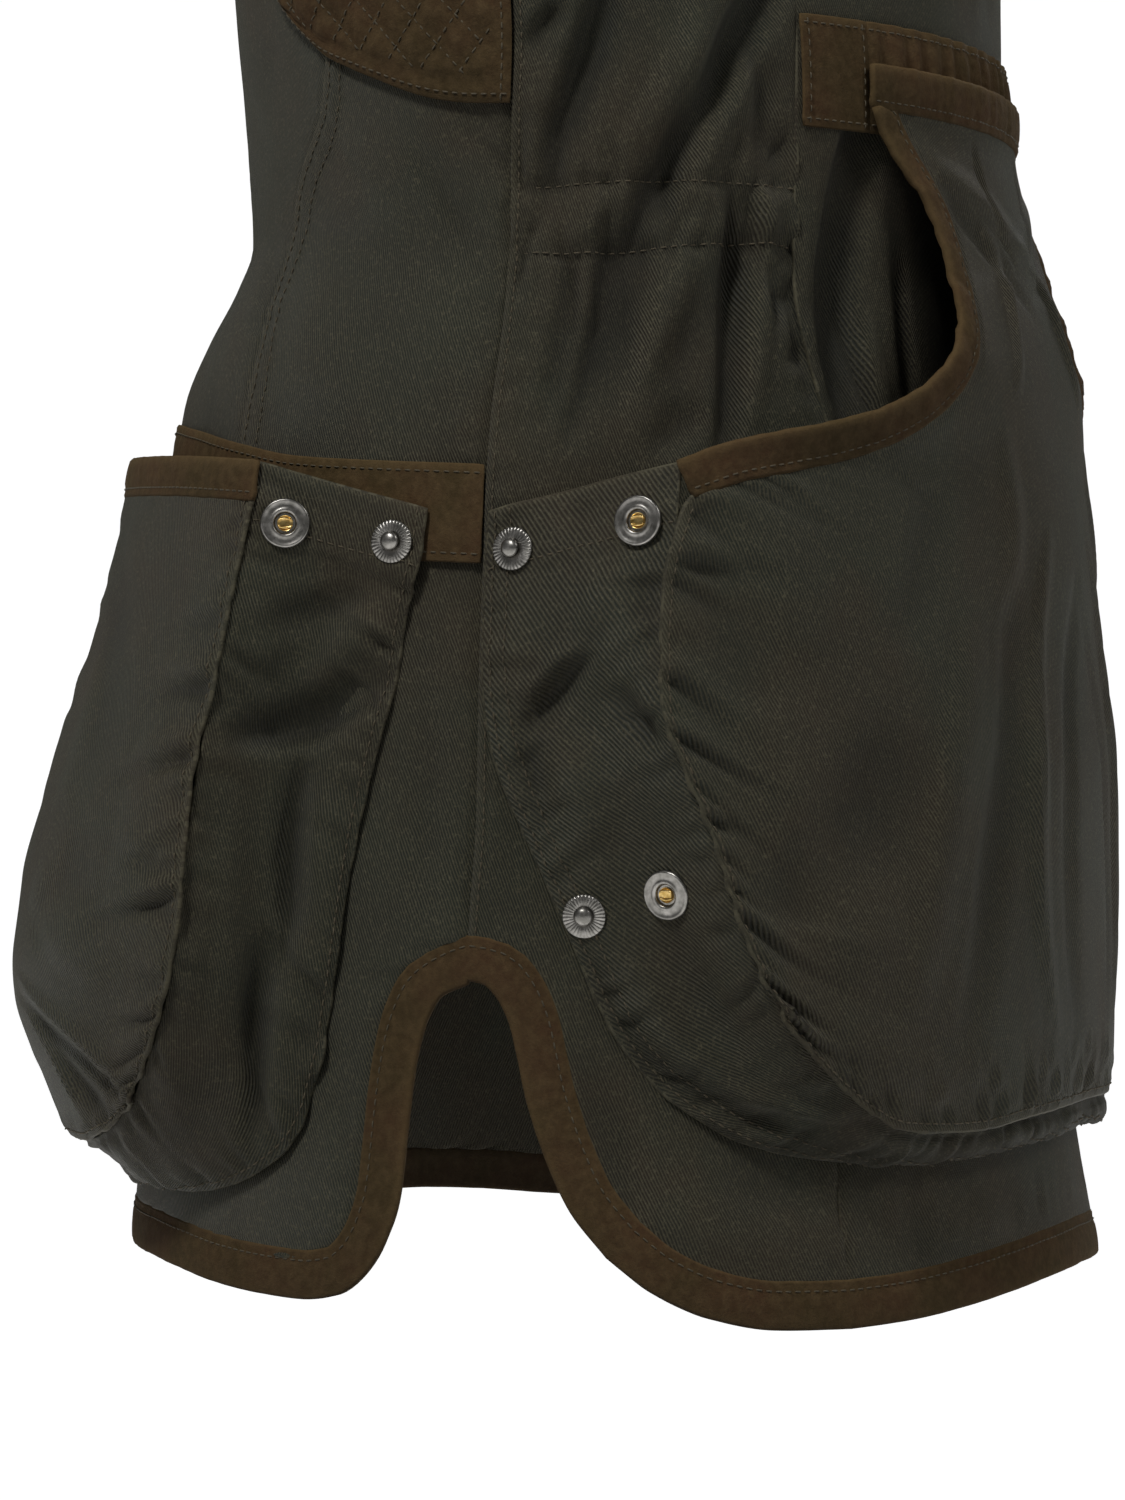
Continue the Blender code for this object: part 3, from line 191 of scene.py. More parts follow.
POCKET_EDGE_FRONT = ((22.5, -270), (19.5, -252), (18, -226), (17.4, -195), (17.6, -160), (18, -120),
                     (18.6, -95), (19, -73))
POCKET_BASE = ((85.1, -91), (84.5, -106), (83, -119), (81.7, -141), (79.8, -162), (78, -184),
               (76.8, -204), (75.8, -228), (74.6, -252), (71.8, -276), (64, -290), (54, -296),
               (42, -298), (29, -295), (18.5, -286), (13, -266), (11, -236), (10.3, -196),
               (10.3, -156), (10.6, -118), (11, -82))
POCKET_MOUTH = ((19, -70.5), (30, -71.5), (41, -73), (55, -75.5), (68.2, -79))
HIP_BAND_TOP = ((8.2, -58), (25, -58), (40.8, -62), (53.8, -68), (66, -73.5), (78, -76), (91.6, -78))
PLACKET_BOTTOM, PLACKET_TOP = -0.304, 0.186
GUN_PATCH_INNER = ((56, 67), (52, 80), (48.5, 98), (46, 122), (44, 150), (42.5, 185), (41, 225),
                   (39.5, 270), (38, 320), (36.5, 380), (36, 430))
GUN_PATCH_BOTTOM = ((56, 67), (60, 57), (64, 50), (72, 42.5), (77.5, 37.5), (83, 33.5),
                    (88.5, 31.5), (94.4, 31))
GUN_PATCH_SIDE = ((94.4, 31), (95.6, 61), (96.1, 100), (95.1, 145), (92.4, 177))

BODY_TABLE = np.array(BODY) / 1000.0

# height and width of the cells of a panel's net, in metres
CELLS = {
    "front_centre": (0.0037, 0.0037), "front_side": (0.0026, 0.0026), "front_lower": (0.0031, 0.0031),
    "side_back": (0.0025, 0.0018), "back": (0.0043, 0.0043), "gun_patch": (0.0019, 0.0019),
    "pocket_face": (0.0016, 0.0024), "pouch_face": (0.0018, 0.0025),
}
LINE_STEP = 0.0030         # between the points of a binding's edge


# the body form and lines on it

def eased(x, xs, ys):
    """A smooth curve through the table's points that never overshoots them."""
    xs, ys = np.asarray(xs, float), np.asarray(ys, float)
    step = np.diff(xs)
    slope = np.diff(ys) / step
    ends = np.zeros(len(xs))
    ends[0], ends[-1] = slope[0], slope[-1]
    same_way = slope[:-1] * slope[1:] > 0
    w1, w2 = 2 * step[1:] + step[:-1], step[1:] + 2 * step[:-1]
    with np.errstate(divide="ignore", invalid="ignore"):
        mean = (w1 + w2) / (w1 / slope[:-1] + w2 / slope[1:])
    ends[1:-1] = np.where(same_way, mean, 0.0)
    x = np.clip(x, xs[0], xs[-1])
    i = np.clip(np.searchsorted(xs, x) - 1, 0, len(step) - 1)
    t = (x - xs[i]) / step[i]
    low, high = ys[i], ys[i + 1]
    return (low + (high - low) * t * t * (3 - 2 * t)
            + step[i] * t * (1 - t) * ((1 - t) * ends[i] - t * ends[i + 1]))


def body(turn, height):
    """A point of the body form. Above the armpit the height runs on to the sloping shoulder."""
    wide, front, back, centre = (eased(height, BODY_TABLE[:, 0], BODY_TABLE[:, k]) for k in (1, 2, 3, 4))
    x = wide * np.sin(turn)
    up = np.clip((height - ARMPIT_HEIGHT) / (NECK_HEIGHT - ARMPIT_HEIGHT), 0, 1)
    shoulder = NECK_HEIGHT - SHOULDER_SLOPE * np.clip(np.abs(x) - NECK_HALF, 0, None)
    z = np.where(height > ARMPIT_HEIGHT, ARMPIT_HEIGHT + (shoulder - ARMPIT_HEIGHT) * up, height)
    depth = np.where(np.cos(turn) > 0, front, back) * np.sqrt(1 - up**SHOULDER_ROUND)
    return np.stack([x, centre - depth * np.cos(turn), z - NECK_HEIGHT], -1)


def outward(turn, height):
    """The body form's outward direction: across its turn by up its height."""
    small = 1e-4
    height = np.clip(height, None, NECK_HEIGHT - 2 * small)
    across = body(turn + small, height) - body(turn - small, height)
    upward = body(turn, height + small) - body(turn, height - small)
    way = np.cross(across, upward)
    return way / np.linalg.norm(way, axis=-1, keepdims=True)


def off_body(spots, lift):
    """Points at the spots, moved off the body form by lift. Front and back stay apart on the shoulder."""
    turn, height = spots[..., 0], spots[..., 1]
    lift = np.broadcast_to(lift, turn.shape)
    points = body(turn, height) + outward(turn, height) * lift[..., None]
    front = np.cos(turn) > 0
    seam = eased(height, BODY_TABLE[:, 0], BODY_TABLE[:, 4])
    on_top = height > ARMPIT_HEIGHT
    points[..., 1] = np.where(on_top & front, np.minimum(points[..., 1], seam - SEAM), points[..., 1])
    points[..., 1] = np.where(on_top & ~front, np.maximum(points[..., 1], seam + SEAM), points[..., 1])
    return points


def spots_of(table):
    """A table's (degrees, mm) rows as (radians, metres)."""
    return np.array(table, float) * (math.pi / 180, 0.001)


def lengths(points):
    """How far along a line each of its points lies."""
    return np.r_[0, np.cumsum(np.linalg.norm(np.diff(points, axis=0), axis=-1))]


def run(table, count):
    """count + 1 spots evenly along a smooth line through the table's rows."""
    spots = table if isinstance(table, np.ndarray) else spots_of(table)
    along = lengths(spots * (GIRTH, 1))
    at = np.linspace(0, along[-1], count + 1)
    return np.stack([eased(at, along, spots[:, k]) for k in (0, 1)], -1)


def inset(spots, width):
    """The line of spots moved to its left by width, measured on the body form."""
    small = 1e-4
    turn, height = spots[:, 0], np.clip(spots[:, 1], None, NECK_HEIGHT - 2 * small)
    per_turn = np.linalg.norm(body(turn + small, height) - body(turn, height), axis=1) / small
    per_height = np.linalg.norm(body(turn, height + small) - body(turn, height), axis=1) / small
    scale = np.stack([per_turn, per_height], -1)
    way = np.gradient(spots, axis=0) * scale
    way /= np.linalg.norm(way, axis=1, keepdims=True)
    return spots + np.stack([-way[:, 1], way[:, 0]], -1) * width / scale


def coons(bottom, top, left, right):
    """A net of spots between four edges: the two ruled nets less the one through the corners."""
    u = np.linspace(0, 1, len(bottom))[None, :, None]
    v = np.linspace(0, 1, len(left))[:, None, None]
    ruled = (1 - u) * left[:, None] + u * right[:, None] + (1 - v) * bottom[None] + v * top[None]
    corners = ((1 - u) * (1 - v) * bottom[0] + u * (1 - v) * bottom[-1]
               + (1 - u) * v * top[0] + u * v * top[-1])
    return ruled - corners


def joined(*lines):
    """Lines that meet end to end, as one line."""
    return np.concatenate([lines[0]] + [line[1:] for line in lines[1:]])


def at_heights(table, heights):
    """The spots of a line that only rises, or only falls, at heights in mm."""
    spots = spots_of(table)
    if spots[0, 1] > spots[-1, 1]:
        spots = spots[::-1]
    height = np.array(heights) / 1000
    return np.stack([eased(height, spots[:, 1], spots[:, 0]), height], -1)


def mirrored(line):
    """A line that ends at the middle of the back, with its mirror on the other side joined to it."""
    return np.concatenate([line, (line[:-1] * (-1, 1) + (2 * math.pi, 0))[::-1]])


def armhole():
    """The armhole's cut edge, from the shoulder down the chest and up the back to the shoulder."""
    return joined(at_heights(ARMHOLE_CHEST, CHEST_ROWS[::-1]), run(ARMHOLE_FRONT, FRONT_STEPS),
                  at_heights(ARMHOLE_BACK, SHOULDER_ROWS))


def neck_line():
    """The cut edge of the V, from its bottom to the shoulder."""
    return at_heights(NECK_FRONT, (NECK_FRONT[0][1],) + CHEST_ROWS[1:])


def neck_inner():
    """Where the neck's binding ends and the cloth of the front begins."""
    line = inset(neck_line(), -BINDING)
    line[0] = (0, line[0, 1] - 0.024)
    return line


def centre_line():
    """The middle edge of the upper front, from the waist join to the bottom of the V."""
    heights = np.linspace(UPPER_JOIN[0][1] / 1000, neck_inner()[0, 1], len(SIDE_ROWS))
    return np.stack([np.zeros(len(heights)), heights], -1)


def back_hem():
    """The cut edge of the back of the hem, from the top of the vent to the middle of the back."""
    runs = (run(HEM_VENT, VENT_STEPS), run(HEM_SIDE, SIDE_STEPS), run(HEM_BACK, BACK_STEPS))
    return np.concatenate([runs[0], runs[1][1:], runs[2][1:]])


# the cloth's lift off the body

def hump(x):
    """1 at 0, easing to 0 at 1 and beyond."""
    x = np.clip(np.abs(x), 0, 1)
    return (1 - x * x) ** 2


def eased_in(x):
    """0 below 0, 1 above 1, with a smooth rise between."""
    x = np.clip(x, 0, 1)
    return x * x * (3 - 2 * x)


def folds(turn, height):
    """The soft folds and the drawn-in waist of the side and back panels, alike on both sides."""
    turn = np.where(turn > math.pi, 2 * math.pi - turn, turn)
    lift = np.zeros(np.broadcast(turn, height).shape)
    for turn0, height0, turn1, height1, half, rise in FOLDS:
        start, end = spots_of(((turn0, height0), (turn1, height1))) * (FOLD_GIRTH, 1.0)
        here = np.stack(np.broadcast_arrays(turn * FOLD_GIRTH, height), -1) - start
        line = end - start
        along = np.clip((here @ line) / (line @ line), 0, 1)
        off = np.linalg.norm(here - along[..., None] * line, axis=-1)
        lift += rise / 1000 * hump(off * 1000 / half) * np.sin(math.pi * np.clip(along, 0.02, 0.98)) ** 0.6
    return lift + gathers(turn, height)


def gathers(turn, height):
    """Uneven ripples where the waist casing draws the side panel in, dying away above and below."""
    start, end = np.radians(CASING_TURNS)
    across = np.clip((turn - start) / (end - start), 0, 1)
    middle = (CASING_TOP + CASING_BOTTOM) / 2
    fade = hump((height - middle) / 0.040) * np.clip(np.minimum(across, 1 - across) / 0.04, 0, 1)
    uneven = across + 0.018 * np.sin(2 * math.pi * 3.3 * across + 0.7)
    wave = np.cos(2 * math.pi * CASING_GATHERS * uneven + 18 * (height - middle))
    return fade * ((0.0008 + 0.0004 * np.sin(17 * across)) * wave - 0.0006)


def creased(u, v, table):
    """Soft troughs and ridges. Each is a curve through three places on the flat cloth, with a half width
    and a rise, all in mm. Across it the lift is a hump, steeper on one side; along it the lift rises
    from nothing and dies away again."""
    u, v = np.broadcast_arrays(u, v)
    lift = np.zeros(u.shape)
    for u0, v0, um, vm, u1, v1, half, rise in table:
        start, middle, end, half = (np.array((u0, v0)) / 1000, np.array((um, vm)) / 1000,
                                    np.array((u1, v1)) / 1000, half / 1000)
        t = np.linspace(0, 1, 25)[:, None]
        line = start * (1 - t) * (1 - 2 * t) + middle * 4 * t * (1 - t) + end * t * (2 * t - 1)
        low, high = line.min(axis=0) - 1.3 * half, line.max(axis=0) + 1.3 * half
        near = (u > low[0]) & (u < high[0]) & (v > low[1]) & (v < high[1])
        if not near.any():
            continue
        here = np.stack([u[near], v[near]], -1)
        ahead = np.gradient(line, axis=0)
        closest = np.argmin(((here[:, None] - line[None]) ** 2).sum(axis=-1), axis=1)
        gap, way = here - line[closest], ahead[closest]
        on = np.clip((gap * way).sum(axis=1) / (way**2).sum(axis=1), -0.5, 0.5)
        gap = gap - way * on[:, None]
        aside = (gap[:, 1] * way[:, 0] - gap[:, 0] * way[:, 1]) / np.linalg.norm(way, axis=1)
        along = (closest + on) / 24
        taper = np.sin(math.pi * np.clip(along, 0.0, 1.0)) ** 0.7
        wide = half * np.where(aside > 0, 1.0, 0.66) * (0.65 + 0.35 * taper)
        off = np.linalg.norm(gap, axis=1) / wide
        lift[near] += rise / 1000 * hump(off) * taper
    return lift


def varied(table, seed, turned=None):
    """The same creases on the other side, each a little moved, deeper or shallower. turned is the width
    across which they are turned round, in mm, where both sides are on one piece."""
    draw = np.random.default_rng(seed)
    rows = []
    for row in table:
        places = np.array(row[:6], float) + np.tile(draw.uniform(-5, 5, 2), 3) + draw.uniform(-2, 2, 6)
        if turned:
            places[::2] = turned - places[::2]
        rows.append((*places, row[6] * draw.uniform(0.85, 1.2), row[7] * draw.uniform(0.6, 1.15)))
    return tuple(rows)


PUCKER_SHADE = 1.6         # how much more painted shade a pucker's trough gets than a fold's of the same depth


def crease_shade(lift):
    """How deep in a trough the cloth lies, from 0 to 1: the twill's colour is darkened there by that much, as
    painted shade.
    """
    return np.clip(-lift / 0.0050, 0, 1)


def puckers(away, along, seed, reach=0.010, rise=0.0006, pitch=0.0085):
    """Puckers that a stitched seam draws into the cloth beside it. Each is a narrow trough with a soft
    ridge behind it, square to the seam or nearly; places, lengths, leans and depths are uneven."""
    draw = np.random.default_rng(seed)
    length = float(along.max())
    count = max(2, int(length / pitch))
    places = (np.arange(count) + draw.uniform(0.05, 0.95, count)) * length / count
    lift = np.zeros(np.shape(away))
    for place in places:
        wide, far = pitch * draw.uniform(0.20, 0.36), reach * draw.uniform(0.35, 1.9)
        tall, lean = rise * draw.uniform(0.35, 1.7), draw.uniform(-0.4, 0.4)
        near = (away < 2.4 * far) & (np.abs(along - place - lean * away) < 5 * wide)
        x = (along[near] - place - lean * away[near]) / wide
        shape = 0.75 * np.exp(-((x - 1.3) ** 2) / 1.6) - np.exp(-x * x)
        lift[near] += tall * shape * np.exp(-((away[near] / far) ** 2))
    return lift * eased_in(away / 0.0040)


def unevenness(u, v, seed, size=0.0004, pitch=0.050):
    """The slack of worn cloth: seven gentle waves that cross each other, from a seeded draw."""
    draw = np.random.default_rng(seed)
    lift = np.zeros(np.broadcast(u, v).shape)
    for _ in range(7):
        way, phase, stretch = draw.uniform(0, math.pi), draw.uniform(0, 2 * math.pi), draw.uniform(0.6, 1.8)
        lift += np.sin((u * math.cos(way) + v * math.sin(way)) * 2 * math.pi / (pitch * stretch) + phase)
    return lift * size / 2.6


def ripple(along, seed, pitch=0.009):
    """An uneven wave along a seam: three sines whose pitches have no common measure."""
    draw = np.random.default_rng(seed)
    wave = 0
    for share in (1.0, 0.61, 1.83):
        wave = wave + np.sin(along * 2 * math.pi / (pitch * share) + draw.uniform(0, 2 * math.pi))
    return wave / 3


def pouch_lift(turn, height):
    """How far the pouch's outer face stands off the body form."""
    turn = np.where(turn > math.pi, 2 * math.pi - turn, turn)
    table = np.array(POUCH_LIFT) / 1000
    middle, edge = (eased(height, table[:, 0], table[:, k]) for k in (1, 2))
    outline = spots_of(POUCH_OPENING + POUCH_EDGE[1:])[::-1]
    limit = eased(height, outline[3:, 1], outline[3:, 0])
    share = np.clip((math.pi - turn) / (math.pi - np.minimum(limit, math.radians(150))), 0, 1)
    return middle + (edge - middle) * share**1.6


def pocket_lift(turn, height):
    """How far the front pocket's face stands off the body form."""
    table = np.array(POCKET_LIFT) / 1000
    levels = [eased(height, table[:, 0], table[:, k]) for k in (1, 2, 3)]
    where = np.clip((np.degrees(turn) - 18) / (68 - 18), 0, 1)
    bend = hump((where - 0.42) / 0.62)
    straight = levels[0] + (levels[2] - levels[0]) * where
    return straight + (levels[1] - (levels[0] + (levels[2] - levels[0]) * 0.42)) * bend


def near_most(lift, turn, height, reach=0.012):
    """The most that lift stands out within reach of a spot, so that what lies there clears it."""
    around = [lift(turn + reach / GIRTH * a, height + reach * b)
              for a in (-1, -0.5, 0, 0.5, 1) for b in (-1, 0, 1)]
    return np.maximum(np.max(around, axis=0), 0)


# nets

def refined(net, at):
    """The net read at the row numbers in at, whole or not, by a cubic that never overshoots a row."""
    slope = np.diff(net, axis=0)
    product = slope[:-1] * slope[1:]
    ends = np.zeros_like(net)
    ends[0], ends[-1] = slope[0], slope[-1]
    with np.errstate(divide="ignore", invalid="ignore"):
        ends[1:-1] = np.where(product > 0, 2 * product / (slope[:-1] + slope[1:]), 0)
    i = np.clip(at.astype(int), 0, len(net) - 2)
    t = (at - i).reshape((-1,) + (1,) * (net.ndim - 1))
    low, high = net[i], net[i + 1]
    return low + (high - low) * t * t * (3 - 2 * t) + t * (1 - t) * ((1 - t) * ends[i] - t * ends[i + 1])


def evened(spots, high, wide):
    """A net of spots made finer both ways, until its cells are about that high and wide."""
    for step in (high, wide):
        gap = np.linalg.norm(np.diff(spots * (GIRTH, 1), axis=0), axis=-1)
        gap = gap.mean(axis=1)
        counts = np.maximum(1, np.round(gap / step)).astype(int)
        at = np.concatenate([k + np.arange(n) / n for k, n in enumerate(counts)] + [[len(counts)]])
        spots = refined(spots, at).swapaxes(0, 1)
    return spots


def evened_line(line, step):
    """A line of spots made finer until its points are about step apart."""
    return evened(np.stack([line, line + (0, 1e-6)]), step, step)[0]


def normals(net, closed=False):
    """The outward direction at each point of a net: along its row by up its column, with a share of the
    four points round it, which carry it over a corner where row and column run the same way."""
    if closed:
        net = np.concatenate([net[:, -1:], net, net[:, :1]], axis=1)
    way = np.cross(np.gradient(net, axis=1), np.gradient(net, axis=0))
    wide = np.pad(way, ((1, 1), (1, 1), (0, 0)), mode="edge")
    way += 0.5 * (wide[:-2, 1:-1] + wide[2:, 1:-1] + wide[1:-1, :-2] + wide[1:-1, 2:])
    way /= np.maximum(np.linalg.norm(way, axis=-1, keepdims=True), 1e-12)
    return way[:, 1:-1] if closed else way


def lifted(net, lift, closed=False):
    """The net moved out along its own normals."""
    return net + normals(net, closed) * np.broadcast_to(lift, net.shape[:2])[..., None]


TURNED = {"left": lambda n: n, "right": lambda n: n[:, ::-1],
          "bottom": lambda n: n.swapaxes(0, 1), "top": lambda n: n[::-1].swapaxes(0, 1)}
TURNED_BACK = {"left": lambda n: n, "right": lambda n: n[:, ::-1],
               "bottom": lambda n: n.swapaxes(0, 1), "top": lambda n: n.swapaxes(0, 1)[::-1]}


def across_rows(net):
    """How far each point lies from the first of its row."""
    away = np.zeros(net.shape[:2])
    away[:, 1:] = np.cumsum(np.linalg.norm(np.diff(net, axis=1), axis=-1), axis=1)
    return away


def from_edge(net, edge):
    """How far each point lies from an edge of its net, and how far along that edge, in metres."""
    turned = TURNED[edge](net)
    away = across_rows(turned)
    along = np.broadcast_to(lengths(turned[:, 0])[:, None], away.shape)
    return TURNED_BACK[edge](away), TURNED_BACK[edge](along)


def seam_line(net, edge, away):
    """The points and outward ways of a line on the net, at a distance from one of its edges."""
    turned, ways = TURNED[edge](net), TURNED[edge](normals(net))
    gone = across_rows(turned)
    away = np.broadcast_to(away, len(turned))
    j = np.clip((gone < away[:, None]).sum(axis=1) - 1, 0, turned.shape[1] - 2)
    row = np.arange(len(turned))
    t = ((away - gone[row, j]) / (gone[row, j + 1] - gone[row, j]))[:, None]
    return (1 - t) * turned[row, j] + t * turned[row, j + 1], ways[row, j]


def extended(net, edge, reach, sink=0.0):
    """The net carried on past an edge by reach, sinking, to pass under its neighbour."""
    turned, way = TURNED[edge](net), TURNED[edge](normals(net))[:, :1]
    way[0], way[-1] = way[1], way[-2]
    hand = 1 if edge in ("right", "bottom") else -1
    out = np.cross(np.gradient(turned[:, 0], axis=0)[:, None], way) * hand
    out /= np.linalg.norm(out, axis=-1, keepdims=True)
    reach = np.broadcast_to(reach, len(turned))[:, None, None]
    more = [turned[:, :1] + out * reach * k - way * sink * k for k in (1.0, 0.5)]
    return TURNED_BACK[edge](np.concatenate(more + [turned], axis=1))


def flipped(net):
    """The net of the other side of the body, with its columns turned round."""
    other = net[:, ::-1].copy()
    other[..., 0] *= -1
    return other


def grain(net, closed=False):
    """Where each point lies on the flat cloth, in metres: mean lengths along rows and up columns."""
    across = np.linalg.norm(np.diff(net, axis=1), axis=-1).mean(axis=0)
    if closed:
        across = np.r_[across, np.linalg.norm(net[:, 0] - net[:, -1], axis=-1).mean()]
    upward = np.linalg.norm(np.diff(net, axis=0), axis=-1).mean(axis=1)
    u, v = np.r_[0, np.cumsum(across)], np.r_[0, np.cumsum(upward)]
    return np.stack(np.meshgrid(u, v), -1)


# building pieces

def shown(name, data):
    """An object of a mesh, a light or a camera, in the scene."""
    thing = bpy.data.objects.new(name, data)
    bpy.context.scene.collection.objects.link(thing)
    return thing


def put(name, points, faces, corner_uv, wear_and_shade, finish):
    """One mesh of quads, smooth, with its grain as a UV map, and as an attribute its rubbed edges and the
    painted shade of its troughs.
    """
    mesh = bpy.data.meshes.new(name)
    mesh.vertices.add(len(points))
    mesh.vertices.foreach_set("co", points.astype(np.float32).ravel())
    sides = faces.shape[1]
    mesh.loops.add(faces.size)
    mesh.loops.foreach_set("vertex_index", faces.astype(np.int32).ravel())
    mesh.polygons.add(len(faces))
    mesh.polygons.foreach_set("loop_start", np.arange(0, faces.size, sides, dtype=np.int32))
    mesh.update(calc_edges=True)
    mesh.uv_layers.new(name="grain").data.foreach_set("uv", corner_uv.astype(np.float32).ravel())
    mesh.attributes.new("wear_and_shade", "FLOAT", "POINT").data.foreach_set("value", wear_and_shade.astype(np.float32).ravel())
    mesh.materials.append(materials[finish])
    mesh.shade_smooth()
    thing = shown(name + "_shown", mesh)
    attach(thing, "root")
    return thing


def shell(name, outer, thick, finish, nodes, uv=None, wear_and_shade=0.0, closed=False):
    """A thin wall: the outer net, the same net moved in by its thickness, and round rims between them."""
    rows, columns = outer.shape[:2]
    way = normals(outer, closed)
    inner = outer - way * thick
    uv = grain(outer, closed) if uv is None else uv
    wear_and_shade = np.broadcast_to(wear_and_shade, (rows, columns))
    last = columns if closed else columns - 1
    r, c = np.meshgrid(np.arange(rows - 1), np.arange(last), indexing="ij")
    r, c = r.ravel(), c.ravel()
    cells = [(r, c), (r, c + 1), (r + 1, c + 1), (r + 1, c)]
    front = np.stack([a * columns + b % columns for a, b in cells], -1)
    half = rows * columns
    flat = np.stack([uv[a, b] for a, b in cells], 1)
    faces, corners = [front, front[:, ::-1] + half], [flat, flat[:, ::-1]]
    # the outer side carries rubbed edges and painted shade of its troughs, the inner side neither; the rims
    # are rubbed paler
    points, worn_and_shaded = [outer.reshape(-1, 3), inner.reshape(-1, 3)], [wear_and_shade.ravel(), np.zeros(half)]
    low, high = np.arange(columns), np.arange(columns) + (rows - 1) * columns
    if closed:
        loops = [low, high[::-1]]
    else:
        up = np.arange(1, rows - 1) * columns
        loops = [np.concatenate([low, up + columns - 1, high[::-1], up[::-1]])]
    count = 2 * half
    flat_uv, flat_way = uv[:, :columns].reshape(-1, 2), way.reshape(-1, 3)
    for loop in loops:
        here, rise = points[0][loop], flat_way[loop]
        turn = np.roll(here, -1, axis=0) - np.roll(here, 1, axis=0)
        out = np.cross(turn, rise)
        out /= np.maximum(np.linalg.norm(out, axis=1, keepdims=True), 1e-12)
        middle = here - rise * thick / 2
        rings = [loop]
        for angle in (math.radians(55), math.radians(125)):
            points.append(middle + thick / 2 * (rise * math.cos(angle) + out * math.sin(angle)))
            worn_and_shaded.append(np.ones(len(loop)))
            rings.append(count + np.arange(len(loop)))
            count += len(loop)
        rings.append(loop + half)
        for one, two in zip(rings[:-1], rings[1:]):
            faces.append(np.stack([one, two, np.roll(two, -1), np.roll(one, -1)], -1))
            corners.append(np.repeat(flat_uv[loop][:, None], 4, axis=1))
    thing = put(name, np.concatenate(points), np.concatenate(faces), np.concatenate(corners).reshape(-1, 2),
                np.concatenate(worn_and_shaded), finish)
    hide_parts(*nodes)
    return thing


STITCH = 0.0032            # from one stitch to the next
STITCH_SHARE = 0.80        # how much of that the stitch takes up
THREAD = 0.00052
stitch_lines = {}


def stitched(group, line, pitch=STITCH):
    """Keeps a line of points and outward ways on which stitches are set, in one of the thread's groups."""
    stitch_lines.setdefault(group, []).append((line[0], line[1], pitch))


def read_at(values, along, at):
    """A line's points or ways, read at lengths along it."""
    return np.stack([np.interp(at, along, values[:, k]) for k in range(3)], -1)


def make_stitches():
    """Thread: each stitch is a short round bead that rises out of the cloth, arches and dives in again."""
    rings, sides = np.array((-1.0, -0.5, 0.5, 1.0)), 4
    thick = np.array((0.3, 1.0, 1.0, 0.3)) * THREAD / 2
    arch = np.array((-0.8, 0.5, 0.5, -0.8)) * THREAD
    angle = np.arange(sides) * 2 * math.pi / sides
    for group, lines in stitch_lines.items():
        points, faces, number = [], [], 0
        for place, way, pitch in lines:
            along = lengths(place)
            count = max(2, int(along[-1] / pitch))
            middle = (np.arange(count) + 0.5) * along[-1] / count
            half = STITCH_SHARE / 2 * pitch
            at = [read_at(place, along, middle + d * half) for d in (-1, 0, 1)]
            up = read_at(way, along, middle)
            up /= np.linalg.norm(up, axis=1, keepdims=True)
            ahead = (at[2] - at[0]) / 2
            side = np.cross(ahead, up)
            side /= np.linalg.norm(side, axis=1, keepdims=True)
            ring = (at[1][:, None] + ahead[:, None] * rings[None, :, None]
                    + up[:, None] * arch[None, :, None])[:, :, None]
            round_it = (np.cos(angle)[None, None, :, None] * side[:, None, None]
                        + np.sin(angle)[None, None, :, None] * up[:, None, None])
            points.append((ring + round_it * thick[None, :, None, None]).reshape(-1, 3))
            one = np.arange(len(rings) * sides).reshape(len(rings), sides)
            around = np.roll(one, -1, axis=1)
            cell = np.stack([one[:-1], around[:-1], around[1:], one[1:]], -1).reshape(-1, 4)
            caps = np.array([(3, 2, 1, 0)])
            ends = np.array([(0, 1, 2, 3)]) + (len(rings) - 1) * sides
            cell = np.concatenate([cell[:, ::-1], caps[:, ::-1], ends[:, ::-1]])
            shift = number + np.arange(count) * len(rings) * sides
            faces.append((cell[None] + shift[:, None, None]).reshape(-1, 4))
            number += count * len(rings) * sides
        points, faces = np.concatenate(points), np.concatenate(faces)
        a, b, c = points[faces[0, 0]], points[faces[0, 1]], points[faces[0, 2]]
        centre = points[:len(rings) * sides].mean(axis=0)
        if np.dot(np.cross(b - a, c - a), (a + c) / 2 - centre) < 0:
            faces = faces[:, ::-1]
        put("stitches_" + group, points, faces, np.zeros((faces.size, 2)), np.zeros(len(points)), "thread")


# looks

def linear(code):
    """An sRGB hex colour as linear red, green, blue and 1."""
    channel = [int(code[k:k + 2], 16) / 255 for k in (1, 3, 5)]
    return tuple(c / 12.92 if c <= 0.04045 else ((c + 0.055) / 1.055) ** 2.4 for c in channel) + (1.0,)


def add(tree, kind, settings=None, **links):
    """Adds one node. settings sets its properties and plain inputs, links joins inputs to outputs."""
    node = tree.nodes.new(kind)
    for key, value in (settings or {}).items():
        if isinstance(key, str) and hasattr(node, key) and key not in node.inputs:
            setattr(node, key, value)
        else:
            node.inputs[key].default_value = value
    for key, output in links.items():
        key = int(key[1:]) if key[0] == "i" and key[1:].isdigit() else key.replace("_", " ")
        tree.links.new(output, node.inputs[key])
    return node


def new_material(name):
    """A material, its tree, its shader, and the place that its textures are read at."""
    material = bpy.data.materials.new(name)
    material.use_nodes = True
    tree = material.node_tree
    tree.nodes.clear()
    shader = tree.nodes.new("ShaderNodeBsdfPrincipled")
    out = tree.nodes.new("ShaderNodeOutputMaterial")
    tree.links.new(shader.outputs[0], out.inputs[0])
    return material, tree, shader, add(tree, "ShaderNodeTexCoord").outputs["Object"]


